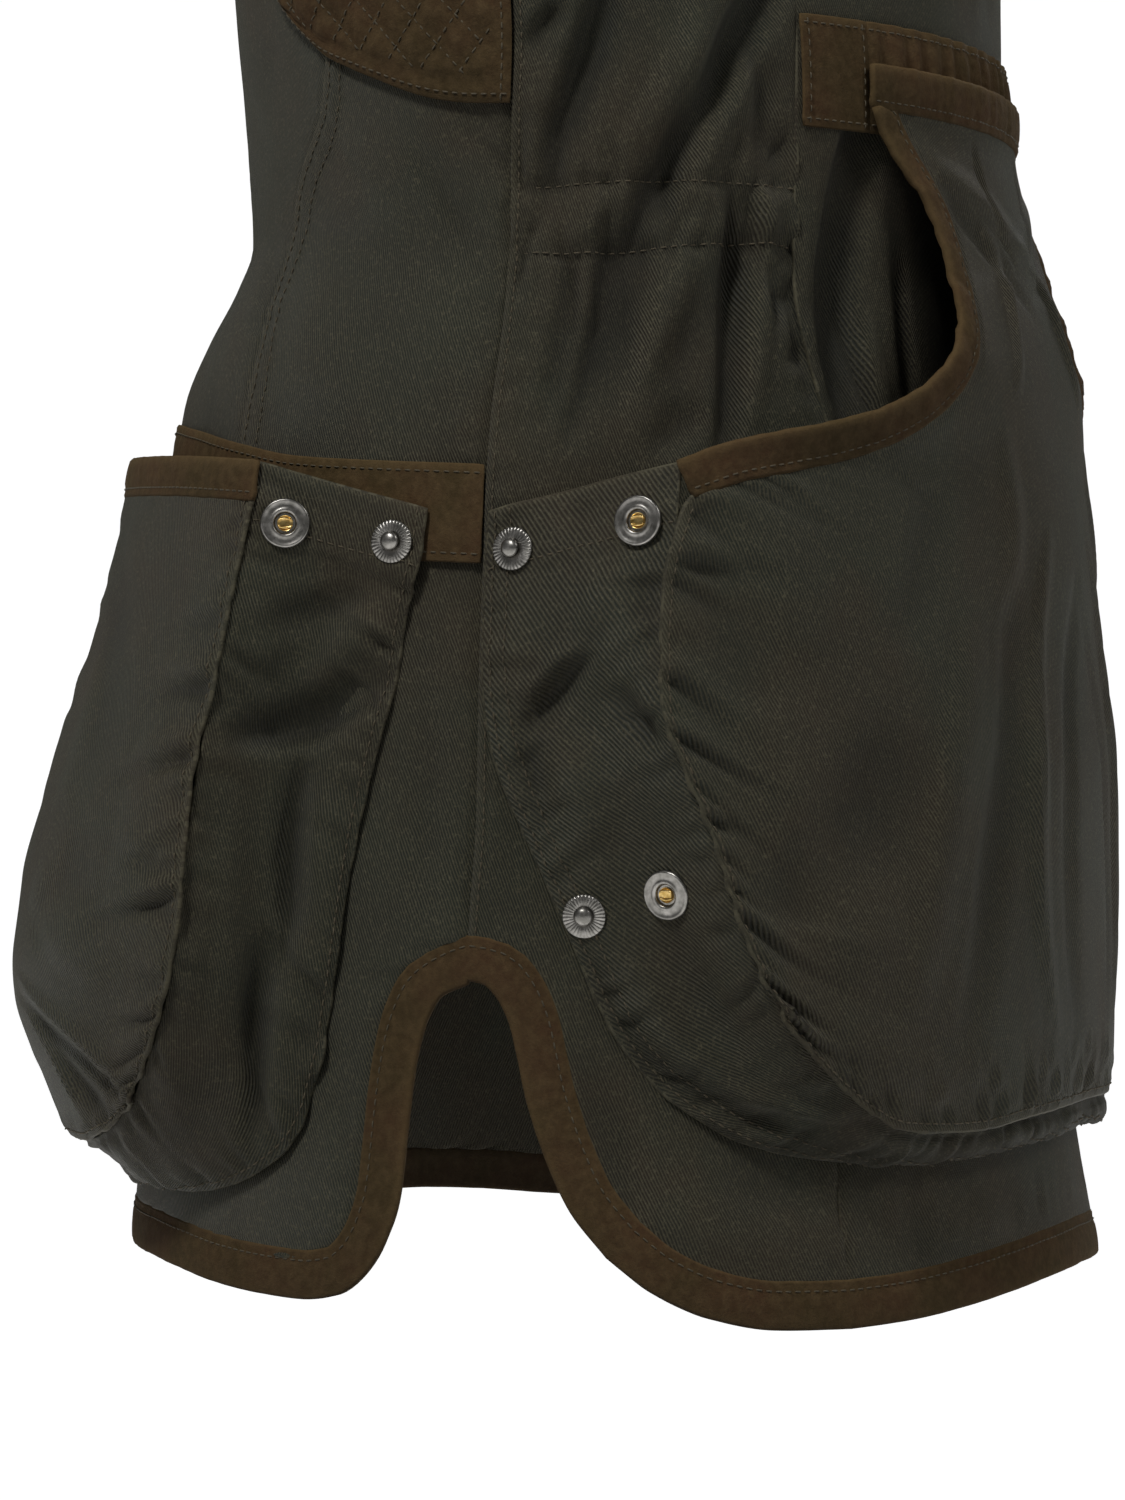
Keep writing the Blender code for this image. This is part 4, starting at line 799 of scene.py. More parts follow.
def mixed(tree, factor, dark, light):
    """Two colours, or two sockets, mixed by a factor."""
    node = tree.nodes.new("ShaderNodeMix")
    node.data_type = "RGBA"
    for socket, value in ((6, dark), (7, light)):
        if isinstance(value, tuple):
            node.inputs[socket].default_value = value
        else:
            tree.links.new(value, node.inputs[socket])
    tree.links.new(factor, node.inputs[0])
    return node.outputs[2]


def ranged(tree, value, low, high, to_low=0.0, to_high=1.0):
    """A value's range from low to high, made to run from to_low to to_high."""
    return add(tree, "ShaderNodeMapRange", {1: low, 2: high, 3: to_low, 4: to_high}, i0=value).outputs[0]


def noise(tree, at, scale, detail, roughness=0.5):
    """A noise texture's value."""
    settings = {"Scale": scale, "Detail": detail, "Roughness": roughness}
    return add(tree, "ShaderNodeTexNoise", settings, Vector=at).outputs[0]


def worked(tree, operation, *terms):
    """A maths node on terms, each an output or a plain number."""
    settings, links = {"operation": operation}, {}
    for number, term in enumerate(terms):
        if isinstance(term, (int, float)):
            settings[number] = term
        else:
            links[f"i{number}"] = term
    return add(tree, "ShaderNodeMath", settings, **links).outputs[0]


def bumped(tree, shader, height, strength, distance):
    """Joins a height to the shader's normal."""
    bump = add(tree, "ShaderNodeBump", {"Strength": strength, "Distance": distance}, Height=height)
    tree.links.new(bump.outputs[0], shader.inputs["Normal"])


def waxed_twill():
    """Waxed and peached cotton twill: steep ribs 0.92 mm apart, a dull sheen, and clouds of olive and
    brown where the wax has gone into the cloth unevenly. Wear rubs the edges paler; the troughs of
    folds and puckers are painted darker, as shade."""
    material, tree, shader, at = new_material("waxed_cotton_twill")
    grain_at = add(tree, "ShaderNodeUVMap", {"uv_map": "grain"}).outputs[0]
    split = add(tree, "ShaderNodeSeparateXYZ", i0=grain_at)
    rib_pitch, lean, wander = 0.00092, math.radians(24), 0.0006
    across = worked(tree, "MULTIPLY", split.outputs[0], math.cos(lean))
    up = worked(tree, "MULTIPLY", split.outputs[1], math.sin(lean))
    drift = worked(tree, "MULTIPLY", noise(tree, at, 90.0, 2.0), wander)
    path = worked(tree, "ADD", worked(tree, "ADD", across, up), drift)
    rib = worked(tree, "SINE", worked(tree, "MULTIPLY", path, 2 * math.pi / rib_pitch))
    slub = noise(tree, at, 900.0, 3.0, 0.7)
    cloud = noise(tree, at, 14.0, 4.0, 0.55)
    patch = noise(tree, at, 46.0, 3.0, 0.6)
    # this attribute is above nought on rubbed edges and below nought in troughs, where it carries painted
    # shade
    wear_and_shade = add(tree, "ShaderNodeAttribute", {"attribute_name": "wear_and_shade"}).outputs["Fac"]
    base = mixed(tree, ranged(tree, cloud, 0.42, 0.58), linear("#272b21"), linear("#32291e"))
    base = mixed(tree, ranged(tree, patch, 0.35, 0.70, 0.0, 0.70), base, linear("#1c1d16"))
    ribbed = mixed(tree, ranged(tree, rib, -0.6, 1.0, 0.0, 0.75), base, linear("#5c5846"))
    flecked = mixed(tree, ranged(tree, slub, 0.52, 0.78, 0.0, 0.70), ribbed, linear("#77715a"))
    worn_and_shaded = mixed(tree, ranged(tree, wear_and_shade, 0.0, 1.0, 0.0, 0.22), flecked, linear("#68614c"))
    # painted shade: the troughs of folds and puckers darkened toward near black
    crease_shaded = mixed(tree, ranged(tree, wear_and_shade, -1.0, 0.0, 0.62, 0.0), worn_and_shaded, linear("#12120d"))
    tree.links.new(crease_shaded, shader.inputs["Base Color"])
    rough = ranged(tree, cloud, 0.3, 0.7, 0.58, 0.72)
    tree.links.new(rough, shader.inputs["Roughness"])
    shader.inputs["Specular IOR Level"].default_value = 0.24
    shader.inputs["Sheen Weight"].default_value = 0.03
    shader.inputs["Sheen Roughness"].default_value = 0.45
    height = worked(tree, "MULTIPLY_ADD", rib, 0.5, 0.5)
    height = worked(tree, "ADD", height, worked(tree, "MULTIPLY", slub, 0.8))
    bumped(tree, shader, height, 0.8, 0.0004)
    return material


def napped_suede():
    """Sueded leather: a short nap 0.4 mm long that lies in tufts, darker where it is pressed, with
    tones from olive brown to red brown."""
    material, tree, shader, at = new_material("napped_suede")
    nap = noise(tree, at, 1300.0, 4.0, 0.75)
    tuft = noise(tree, at, 330.0, 3.0, 0.6)
    cloud = noise(tree, at, 34.0, 3.0, 0.6)
    wear_and_shade = add(tree, "ShaderNodeAttribute", {"attribute_name": "wear_and_shade"}).outputs["Fac"]
    base = mixed(tree, ranged(tree, cloud, 0.38, 0.62), linear("#4b3d25"), linear("#543e29"))
    tufted = mixed(tree, ranged(tree, tuft, 0.38, 0.68, 0.0, 0.55), base, linear("#6a573b"))
    napped = mixed(tree, ranged(tree, nap, 0.45, 0.75, 0.0, 0.5), tufted, linear("#33281a"))
    worn_and_shaded = mixed(tree, ranged(tree, wear_and_shade, 0.0, 1.0, 0.0, 0.30), napped, linear("#74603f"))
    tree.links.new(worn_and_shaded, shader.inputs["Base Color"])
    shader.inputs["Roughness"].default_value = 0.95
    shader.inputs["Specular IOR Level"].default_value = 0.15
    shader.inputs["Sheen Weight"].default_value = 0.08
    shader.inputs["Sheen Roughness"].default_value = 0.35
    shader.inputs["Sheen Tint"].default_value = linear("#b79a70")
    bumped(tree, shader, worked(tree, "ADD", nap, tuft), 0.7, 0.0005)
    return material


def spun_thread():
    """Matt polyester core thread, dyed to the cloth: a tone paler than the twill."""
    material, tree, shader, at = new_material("spun_thread")
    strand = noise(tree, at, 1500.0, 2.0)
    tree.links.new(mixed(tree, strand, linear("#423a2c"), linear("#665c46")), shader.inputs["Base Color"])
    shader.inputs["Roughness"].default_value = 0.7
    return material


def brushed_nickel():
    """Antiqued nickel plate on a stamped snap: soft reflections, with darker and paler stains at random."""
    material, tree, shader, at = new_material("antiqued_nickel_plate")
    grit, stain = noise(tree, at, 2200.0, 3.0, 0.6), noise(tree, at, 420.0, 2.0)
    colour = mixed(tree, ranged(tree, stain, 0.35, 0.7), linear("#73716c"), linear("#9b9893"))
    tree.links.new(colour, shader.inputs["Base Color"])
    shader.inputs["Metallic"].default_value = 1.0
    tree.links.new(ranged(tree, grit, 0.3, 0.7, 0.26, 0.42), shader.inputs["Roughness"])
    bumped(tree, shader, grit, 0.15, 0.00005)
    return material


def spring_brass():
    """Bright drawn brass wire of the spring inside a socket."""
    material, tree, shader, at = new_material("spring_brass")
    stain = ranged(tree, noise(tree, at, 600.0, 2.0), 0.3, 0.7)
    colour = mixed(tree, stain, linear("#a98a4c"), linear("#e0c383"))
    tree.links.new(colour, shader.inputs["Base Color"])
    shader.inputs["Metallic"].default_value = 1.0
    shader.inputs["Roughness"].default_value = 0.28
    return material


def floor_paper():
    """Seamless white studio paper, with the faintest unevenness."""
    material, tree, shader, at = new_material("studio_paper")
    tone = noise(tree, at, 1.5, 2.0)
    tree.links.new(mixed(tree, tone, linear("#f4f4f3"), linear("#fbfbfa")), shader.inputs["Base Color"])
    shader.inputs["Roughness"].default_value = 0.9
    shader.inputs["Emission Color"].default_value = (1, 1, 1, 1)
    shader.inputs["Emission Strength"].default_value = 0.95
    return material


# panels

FRONT_CREASES = (
    (118, 5, 137, -22, 150, -52, 12, -0.9),
    (90, 62, 113, 41, 140, 26, 16, 0.8),
    (96, -20, 106, -42, 112, -66, 10, 0.7),
    (132, 20, 141, -10, 146, -40, 9, -0.7),
    (120, 48, 130, 54, 139, 60, 12, -0.7),
    (170, 120, 192, 93, 205, 60, 18, -1.0),
    (60, 40, 83, 2, 96, -40, 20, -1.0),
    (30, 120, 45, 62, 74, 10, 24, 1.2),
    (50, 200, 85, 169, 110, 130, 22, -1.0),
    (210, 20, 228, 2, 242, -18, 9, -0.9),
    (216, 66, 229, 46, 246, 30, 11, 0.8),
    (234, 31, 245, 25, 256, 19, 5, -0.8),
    (237, -74, 240, -64, 246, -51, 5, 0.7),
    (169, 21, 198, 17, 229, 18, 14, 0.7),
    (162, 1, 204, -11, 238, -11, 14, -0.6),
)
LOWER_CREASES = (
    (224, -110, 232, -160, 232, -210, 12, -0.9),
    (240, -150, 240, -190, 246, -230, 9, 0.8),
    (196, -230, 208, -264, 214, -300, 12, -0.8),
    (60, -120, 78, -189, 80, -260, 22, -1.0),
)
SIDE_CREASES = (
    (394, 108, 338, 46, 296, -22, 13, -8.0),
    (312, 95, 282, 40, 262, -10, 12, -6.5),
    (290, 0, 290, -30, 276, -74, 9, -4.8),
    (341, 8, 342, -28, 333, -82, 11, -7.0),
    (367, -5, 365, -26, 374, -67, 6, -3.5),
    (350, 56, 354, 30, 357, 5, 8, -2.6),
    (328, 80, 327, 37, 321, 4, 12, 2.5),
    (310, -12, 311, -38, 303, -72, 14, 2.6),
    (366, 61, 342, 33, 322, 6, 11, 2.4),
    (279, -12, 276, -36, 270, -66, 10, -3.6),
    (290, 43, 273, 17, 262, -8, 9, 2.0),
    (280, 60, 270, 54, 262, 45, 8, -4.1),
    (350, 0, 351, -26, 344, -66, 10, 2.0),
    (265, -4, 262, -8, 261, -13, 5, -2.8),
    (312, 2, 309, -5, 305, -13, 6, 1.9),
    (325, 3, 321, -3, 318, -11, 6, -2.0),
    (354, 4, 357, -3, 354, -7, 6, 2.0),
    (308, -74, 319, -67, 329, -60, 12, -2.4),
    (291, 4, 287, -3, 283, -12, 6, 2.0),
    (309, -16, 299, -37, 291, -64, 11, -2.0),
    (338, -12, 323, -36, 303, -66, 12, -2.0),
    (367, 25, 361, 20, 357, 13, 5, -1.9),
    (368, -20, 361, -26, 360, -35, 6, -2.0),
    (371, -40, 365, -43, 363, -48, 6, -1.9),
    (328, 55, 311, 32, 298, 16, 10, 1.9),
    (262, -240, 286, -270, 300, -306, 20, -2.3),
    (300, -300, 328, -307, 352, -322, 18, 1.9),
    (330, -290, 352, -294, 372, -304, 15, -1.6),
)
BACK_CREASES = (
    (407, 46, 386, -10, 389, -76, 17, -9.0),
    (388, -20, 395, -46, 401, -70, 5, -3.2),
    (415, -8, 417, -33, 418, -66, 5, -3.2),
    (399, -30, 401, -48, 407, -66, 5, 2.2),
    (380, 150, 412, 109, 430, 60, 20, -1.6),
    (400, 240, 419, 186, 452, 140, 22, 1.4),
    (440, 360, 481, 358, 520, 344, 20, -1.2),
    (470, 140, 479, 104, 480, 66, 16, 1.2),
    (520, 150, 506, 111, 500, 70, 15, -1.3),
    (410, 20, 419, -30, 420, -80, 14, -1.0),
    (560, 120, 579, 93, 590, 62, 16, 1.2),
    (390, -290, 395, -306, 396, -322, 10, -1.4),
    (420, -300, 431, -309, 440, -320, 10, 0.9),
)


def spot_flat(spots):
    """Turn and height as lengths on the cloth, for creases and grain."""
    return spots[..., 0] * GIRTH, spots[..., 1]


def panel(name, node, spots, lift, edges, seed, side, lines=()):
    """A twill panel: its net on the body, the seams' steps, puckers and grooves along its edges, and its
    stitched lines. edges gives each edge's kind: over laps a neighbour, under runs beneath one, bound
    runs into a binding, plain meets a neighbour in a groove. An edge that laps over is bound where it
    runs down the vent, below the side seam."""
    net = off_body(spots, lift)
    more, wear_and_shade, free = np.zeros(net.shape[:2]), np.zeros(net.shape[:2]), np.ones(net.shape[:2])
    # how far each point lies down in a trough, puckers counted deeper, which sets its painted shade
    deep = np.broadcast_to(lift, net.shape[:2])
    seamed = eased_in((spots[..., 1] - VENT_TOP) / 0.012)
    for number, (edge, kind) in enumerate(edges.items()):
        away, along = from_edge(net, edge)
        drawn, tucked = puckers(away, along, 10 * seed + number), eased_in((away - 0.001) / 0.010)
        deep = deep + PUCKER_SHADE * drawn
        if kind == "over":
            step = 0.0008 * (1 - eased_in((away - 0.004) / 0.006)) - 0.00035 * hump((away - 0.0022) / 0.0014)
            more += (step + drawn) * seamed
            free *= seamed + (1 - seamed) * tucked
            wear_and_shade = np.maximum(wear_and_shade, np.exp(-(away / 0.0011) ** 2))
        elif kind == "under":
            more += -0.0008 * (1 - eased_in(away / 0.004)) + drawn
        elif kind == "bound":
            more = (more + drawn) * tucked
            free *= tucked
        elif kind == "plain":
            more += -0.0006 * np.exp(-away / 0.0011) + drawn
    # painted shade: troughs darken the colour by their depth, beside the paler rubbed edges
    wear_and_shade = wear_and_shade - crease_shade(deep)
    net = off_body(spots, lift * free + more)
    for edge, away in lines:
        line = seam_line(net, edge, away)
        if edge == "left":
            line = tuple(part[spots[:, 0, 1] > VENT_TOP] for part in line)
        stitched(f"{STITCH_GROUP[node]}_{'left' if side > 0 else 'right'}", turned_side(line, side))
    u, v = spot_flat(spots)
    uv = np.stack([u, v], -1)
    added = {"left": 0, "right": 0}
    for edge, kind in edges.items():
        if kind in ("under", "bound", "over"):
            reach = np.full(net.shape[0 if edge in added else 1], UNDER_REACH)
            if kind == "over":
                down = spots[:, 0, 1] < VENT_TOP - 0.002
                if not down.any():
                    continue
                reach = np.where(down, UNDER_REACH, LEAST_REACH)
            if edge in added:
                added[edge] = 2
            else:
                reach[:added["left"]] = reach[len(reach) - added["right"]:] = LEAST_REACH
            net = extended(net, edge, reach, UNDER_SINK)
            uv, wear_and_shade = widened(uv, edge), widened(wear_and_shade[..., None], edge)[..., 0]
    if side < 0:
        net, uv, wear_and_shade = flipped(net), uv[:, ::-1] * (-1, 1), wear_and_shade[:, ::-1]
    return shell(name, net, CLOTH, "twill", [name], uv, wear_and_shade)


def widened(values, edge):
    """The two columns that extended() adds, with the edge's own values."""
    turned = TURNED[edge](values)
    return TURNED_BACK[edge](np.concatenate([turned[:, :1], turned[:, :1], turned], axis=1))


def turned_side(line, side):
    """A line of points and ways, mirrored for the wearer's right."""
    return tuple(part * (side, 1, 1) for part in line)


STITCH_GROUP = {"front_centre": "chest", "front_side": "chest", "front_lower": "lower", "side_back": "side",
                "back": "back"}
SIDES = (("left", 1), ("right", -1))


def front_lift(side):
    """The front panels' lift: the same creases on the right, a little changed."""
    table = FRONT_CREASES + LOWER_CREASES

    def lift(spots):
        """The lift at the spots."""
        u, v = spot_flat(spots)
        return creased(u, v, table if side > 0 else varied(table, 5)) + unevenness(u, v, 11 + side)
    return lift


def armhole_inner():
    """Where the armhole's binding ends and the cloth begins."""
    return inset(armhole(), -BINDING)


def make_front():
    """Centre front, side front and lower front of both sides."""
    neck, arm = neck_inner(), armhole_inner()
    chest, under = arm[:CHEST_STEPS + 1][::-1], arm[CHEST_STEPS:CHEST_STEPS + FRONT_STEPS + 1]
    seam = run(PRINCESS_SEAM, len(SIDE_ROWS) - 1)
    seam[-1] = chest[0]
    left, right = joined(centre_line(), neck), joined(seam, chest)
    top = np.stack([np.linspace(left[-1, 0], right[-1, 0], 6), np.full(6, NECK_HEIGHT)], -1)
    centre = evened(coons(run(UPPER_JOIN[:4], 5), top, left, right), *CELLS["front_centre"])
    side_line = at_heights(SIDE_SEAM_HIGH, SIDE_ROWS)
    side_line[-1] = under[-1]
    seam = run(PRINCESS_SEAM, len(SIDE_ROWS) - 1)
    seam[-1] = under[0]
    side_spots = evened(coons(run(UPPER_JOIN[3:], 4), under, seam, side_line), *CELLS["front_side"])
    lower = evened(front_lower_spots(), *CELLS["front_lower"])
    for word, side in SIDES:
        lift = front_lift(side)
        thing = panel(f"front_centre_{word}", "front_centre", centre, lift(centre),
                      {"right": "under", "bottom": "under", "left": "none", "top": "none"}, 20 + side, side)
        thing = panel(f"front_side_{word}", "front_side", side_spots, lift(side_spots),
                      {"left": "over", "right": "under", "top": "bound", "bottom": "under"}, 30 + side, side,
                      [("left", 0.0020), ("left", 0.0085)])
        thing = panel(f"front_lower_{word}", "front_lower", lower, lift(lower),
                      {"right": "under", "bottom": "bound", "top": "under"}, 40 + side, side)


def front_lower_spots():
    """The lower front panel, from the hem and the vent to the waist join."""
    side = run(SIDE_SEAM_LOW, 4)
    hem = drawn_to(inset(run(HEM_FRONT, 54), HEM_BINDING)[::-1], side[0])[::-1]
    corner = 33
    low, vent = hem[:corner + 1], hem[corner:]
    right = joined(vent, side)
    join = UPPER_JOIN[0][1] / 1000
    rise = (right[:, 1] - right[0, 1]) / (right[-1, 1] - right[0, 1])
    left = np.stack([np.zeros(len(right)), low[0, 1] + rise * (join - low[0, 1])], -1)
    return coons(low, run(UPPER_JOIN, corner), left, right)


def side_back_spots():
    """The side back panel from the vent to the shoulder, between the side seam and the back seam."""
    side = joined(run(SIDE_SEAM_LOW, 4), at_heights(SIDE_SEAM_HIGH, SIDE_ROWS))
    hem = drawn_to(inset(back_hem(), HEM_BINDING), side[0])
    vent, low = hem[:VENT_STEPS + 1][::-1], hem[VENT_STEPS:VENT_STEPS + SIDE_STEPS + 1]
    under = armhole_inner()[CHEST_STEPS + FRONT_STEPS:]
    side[-1] = under[0]
    left = joined(vent, side, under)
    seam = run(BACK_SEAM, 60)
    rise = (left[:, 1] - left[0, 1]) / (left[-1, 1] - left[0, 1])
    height = low[-1, 1] + rise * (NECK_HEIGHT - low[-1, 1])
    right = np.stack([np.interp(height, seam[:, 1], seam[:, 0]), height], -1)
    right[0] = low[-1]
    top = np.stack([np.linspace(left[-1, 0], right[-1, 0], len(low)), np.full(len(low), NECK_HEIGHT)], -1)
    share, apex = np.linspace(0, 1, len(low)), VENT_STEPS
    level = np.stack([share, share ** 2], -1) * (right[apex] - left[apex]) + left[apex]
    return np.concatenate([coons(low, level, left[:apex + 1], right[:apex + 1])[:-1],
                           coons(level, top, left[apex:], right[apex:])])


def casing_rows(turn):
    """Heights of the two stitched rows of the waist casing, which the gathers pull out of true."""
    table = np.radians(CASING_ROWS[0])
    return [eased(turn, table, np.array(row) / 1000) for row in CASING_ROWS[1:]]


def level_line(net, height):
    """The line on a net where a height read at its points is nought: one place in each column."""
    ways = normals(net)
    row = np.argmax((height[:-1] <= 0) & (height[1:] > 0), axis=0)
    column = np.arange(net.shape[1])
    low, high = height[row, column], height[row + 1, column]
    t = (low / (low - high))[:, None]
    return (1 - t) * net[row, column] + t * net[row + 1, column], ways[row, column]


def make_back():
    """The two side back panels, with the gathered waist casing, and the centre back."""
    coarse = side_back_spots()
    spots = evened(coarse, *CELLS["side_back"])
    for word, side in SIDES:
        u, v = spot_flat(spots)
        table = SIDE_CREASES if side > 0 else varied(SIDE_CREASES, 6)
        lift = folds(spots[..., 0], v) + creased(u, v, table) + unevenness(u, v, 50 + side)
        rows = casing_rows(spots[..., 0])
        shares = np.clip((v - rows[1]) / (rows[0] - rows[1]), 0, 1)
        lift += 0.0012 * np.sin(math.pi * shares) ** 0.8
        for number, row in enumerate(rows):
            off = v - row
            lift -= 0.0011 * hump(off / 0.0026)
            for way in (-1, 1):
                away = np.where(off * way > 0, np.abs(off), 1.0)
                lift += puckers(away, u, 300 + 10 * number + way + side, 0.013, 0.0017, 0.0105)
        thing = panel(f"side_back_{word}", "side_back", spots, lift,
                      {"left": "over", "right": "plain", "bottom": "bound"}, 60 + side, side,
                      [("left", 0.0022)])
        net = off_body(spots, lift)
        for row in rows:
            stitched(f"side_{word}", turned_side(level_line(net, v - row), side))
    left = coarse[:, -1]
    right = left * (-1, 1) + (2 * math.pi, 0)
    bottom = mirrored(inset(back_hem(), HEM_BINDING)[VENT_STEPS + SIDE_STEPS:])
    bottom[0], bottom[-1] = left[0], right[0]
    nape = inset(run(NECK_BACK, 4), BINDING)
    top = mirrored(np.concatenate([[left[-1], (left[-1] + nape[-1]) / 2], nape[::-1]]))
    spots = evened(coons(bottom, top, left, right), *CELLS["back"])
    u, v = spot_flat(spots)
    lift = folds(spots[..., 0], v) + creased(u, v, BACK_CREASES) + unevenness(u, v, 71, 0.0006, 0.080)
    thing = panel("back", "back", spots, lift,
                  {"left": "plain", "right": "plain", "bottom": "bound", "top": "bound"}, 72, 1)


def strip(line, inner, across, lift=0.0):
    """A fine net between a cut edge and the line where the cloth ends, across steps wide."""
    t = np.linspace(0, 1, across + 1)[:, None, None]
    spots = (1 - t) * line[None] + t * inner[None]
    return off_body(spots, lift + BINDING_PROUD)


def rolled(net, seed, proud, stitch_away, closed, inner_edge, slack):
    """A binding's section: full along its fold, pressed down along its stitched edge, puckered."""
    away, along = from_edge(net, inner_edge)
    width = np.max(away)
    full = proud * np.sin(math.pi * np.clip((away - stitch_away * 0.7) / width, 0, 1)) ** 0.7
    wave = ripple(along + 0.35 * away, seed, 0.013)
    lift = full - 0.00035 * hump((away - stitch_away) / 0.0016) + slack * wave * eased_in(away / 0.003)
    return lifted(net, lift, closed)


def bound(name, nodes, net, thick, seed, group, side=1, closed=False, stitch="top", away=0.0022,
          slack=0.0002):
    """A folded suede strip with one row of stitches beside its inner edge."""
    net = rolled(net, seed, 0.0005, away, closed, stitch, slack)
    line = seam_line(net, stitch, away)
    if closed:
        line = tuple(np.concatenate([part, part[:1]]) for part in line)
    stitched(group, turned_side(line, side))
    edge, _ = from_edge(net, {"top": "bottom", "bottom": "top", "left": "right", "right": "left"}[stitch])
    wear_and_shade = np.exp(-(edge / 0.0016) ** 2)
    if side < 0:
        net, wear_and_shade = flipped(net), wear_and_shade[:, ::-1]
    return shell(name, net, thick, "suede", nodes, wear_and_shade=wear_and_shade, closed=closed)


def drawn_to(line, spot):
    """The line with its start moved to a spot, and what lies within 20 mm of it moved with it."""
    away = np.linalg.norm((line - line[0]) * (GIRTH, 1), axis=1)
    return line + (spot - line[0]) * hump(away / 0.020)[:, None]


def make_bindings():
    """Suede binding of the hem, the armholes and the neck."""
    thick = CLOTH + 2 * BINDING_PROUD
    apex = spots_of(SIDE_SEAM_LOW)[0] - (0, SEAM)
    for word, side in SIDES:
        line = run(HEM_FRONT, 150)
        net = strip(line, drawn_to(inset(line, HEM_BINDING - SEAM)[::-1], apex)[::-1], 6)
        thing = bound(f"hem_binding_front_{word}", [f"hem_binding_front_{word}"], net, thick, 80 + side,
                      "hem", side)
        line = evened_line(armhole(), LINE_STEP)
        net = strip(line, inset(line, SEAM - BINDING), 5)
        net = net[:, ::-1]
        thing = bound(f"armhole_binding_{word}", [f"armhole_binding_{word}"], net, thick, 90 + side,
                      f"chest_{word}", side, closed=True)
    runs = (run(HEM_VENT, 40), run(HEM_SIDE, 36), run(HEM_BACK, 40))
    line = np.concatenate([runs[0], runs[1][1:], runs[2][1:]])
    net = strip(mirrored(line), mirrored(drawn_to(inset(line, HEM_BINDING - SEAM), apex)), 6)
    thing = bound("hem_binding_back", ["hem_binding_back"], net, thick, 95, "hem")

    line = evened_line(neck_line(), LINE_STEP)
    inner = inset(line, SEAM - BINDING)
    drop = neck_inner()[0, 1] + SEAM - inner[0, 1]
    inner[:, 1] += drop * hump(np.linalg.norm((line - line[0]) * (GIRTH, 1), axis=1) / 0.03)
    inner[0, 0] = 0
    front = strip(line, inner, 5)
    line = evened_line(run(NECK_BACK, 4)[::-1], LINE_STEP)
    nape = strip(line, inset(line, SEAM - BINDING), 5)
    half = np.concatenate([front, nape], axis=1)
    net = np.concatenate([half, flipped(half)[:, 1:-1]], axis=1)[:, ::-1]
    thing = bound("neck_binding", ["neck_binding"], net, thick, 96, "back", closed=True)


def hip_band(turn):
    """Height of the hip band's top edge."""
    table = spots_of(HIP_BAND_TOP)
    return eased(turn, table[:, 0], table[:, 1])


def front_cover(turn, height):
    """How far what is sewn on the front stands out, which is the hip band."""
    top = hip_band(turn)
    return np.where((height < top) & (height > top - HIP_BAND_WIDTH), BAND_OFF + SUEDE, 0.0)


def quilt(u, v):
    """Quilting: the cloth rises between two sets of slanting stitch lines 12 mm apart and dips at each."""
    lines = [(u * math.cos(a) + v * math.sin(a)) / QUILT_PITCH for a in (QUILT_LEAN, -QUILT_LEAN)]
    dips = [np.abs(np.sin(math.pi * x)) for x in lines]
    return 0.0017 * (dips[0] * dips[1]) ** 0.45


def gun_patch_spots():
    """The quilted patch, from its curved inner edge to the armhole and the side seam."""
    side = run(GUN_PATCH_SIDE, 12)
    arm = armhole_inner()[:CHEST_STEPS + FRONT_STEPS + 1][::-1]
    arm = inset(arm, 0.0025)
    side[-1] = arm[0]
    right = joined(side, arm)
    low = len(side) + FRONT_STEPS
    heights = np.r_[np.linspace(GUN_PATCH_INNER[0][1], CHEST_ROWS[0] - 8, low)[:-1],
                    right[low - 1:, 1] * 1000]
    left = at_heights(GUN_PATCH_INNER, heights)
    bottom = run(GUN_PATCH_BOTTOM, 8)
    right[0], left[0] = bottom[-1], bottom[0]
    turns = np.linspace(left[-1, 0], right[-1, 0], 9)
    top = np.stack([turns, np.full(len(turns), NECK_HEIGHT)], -1)
    return coons(bottom, top, left, right)


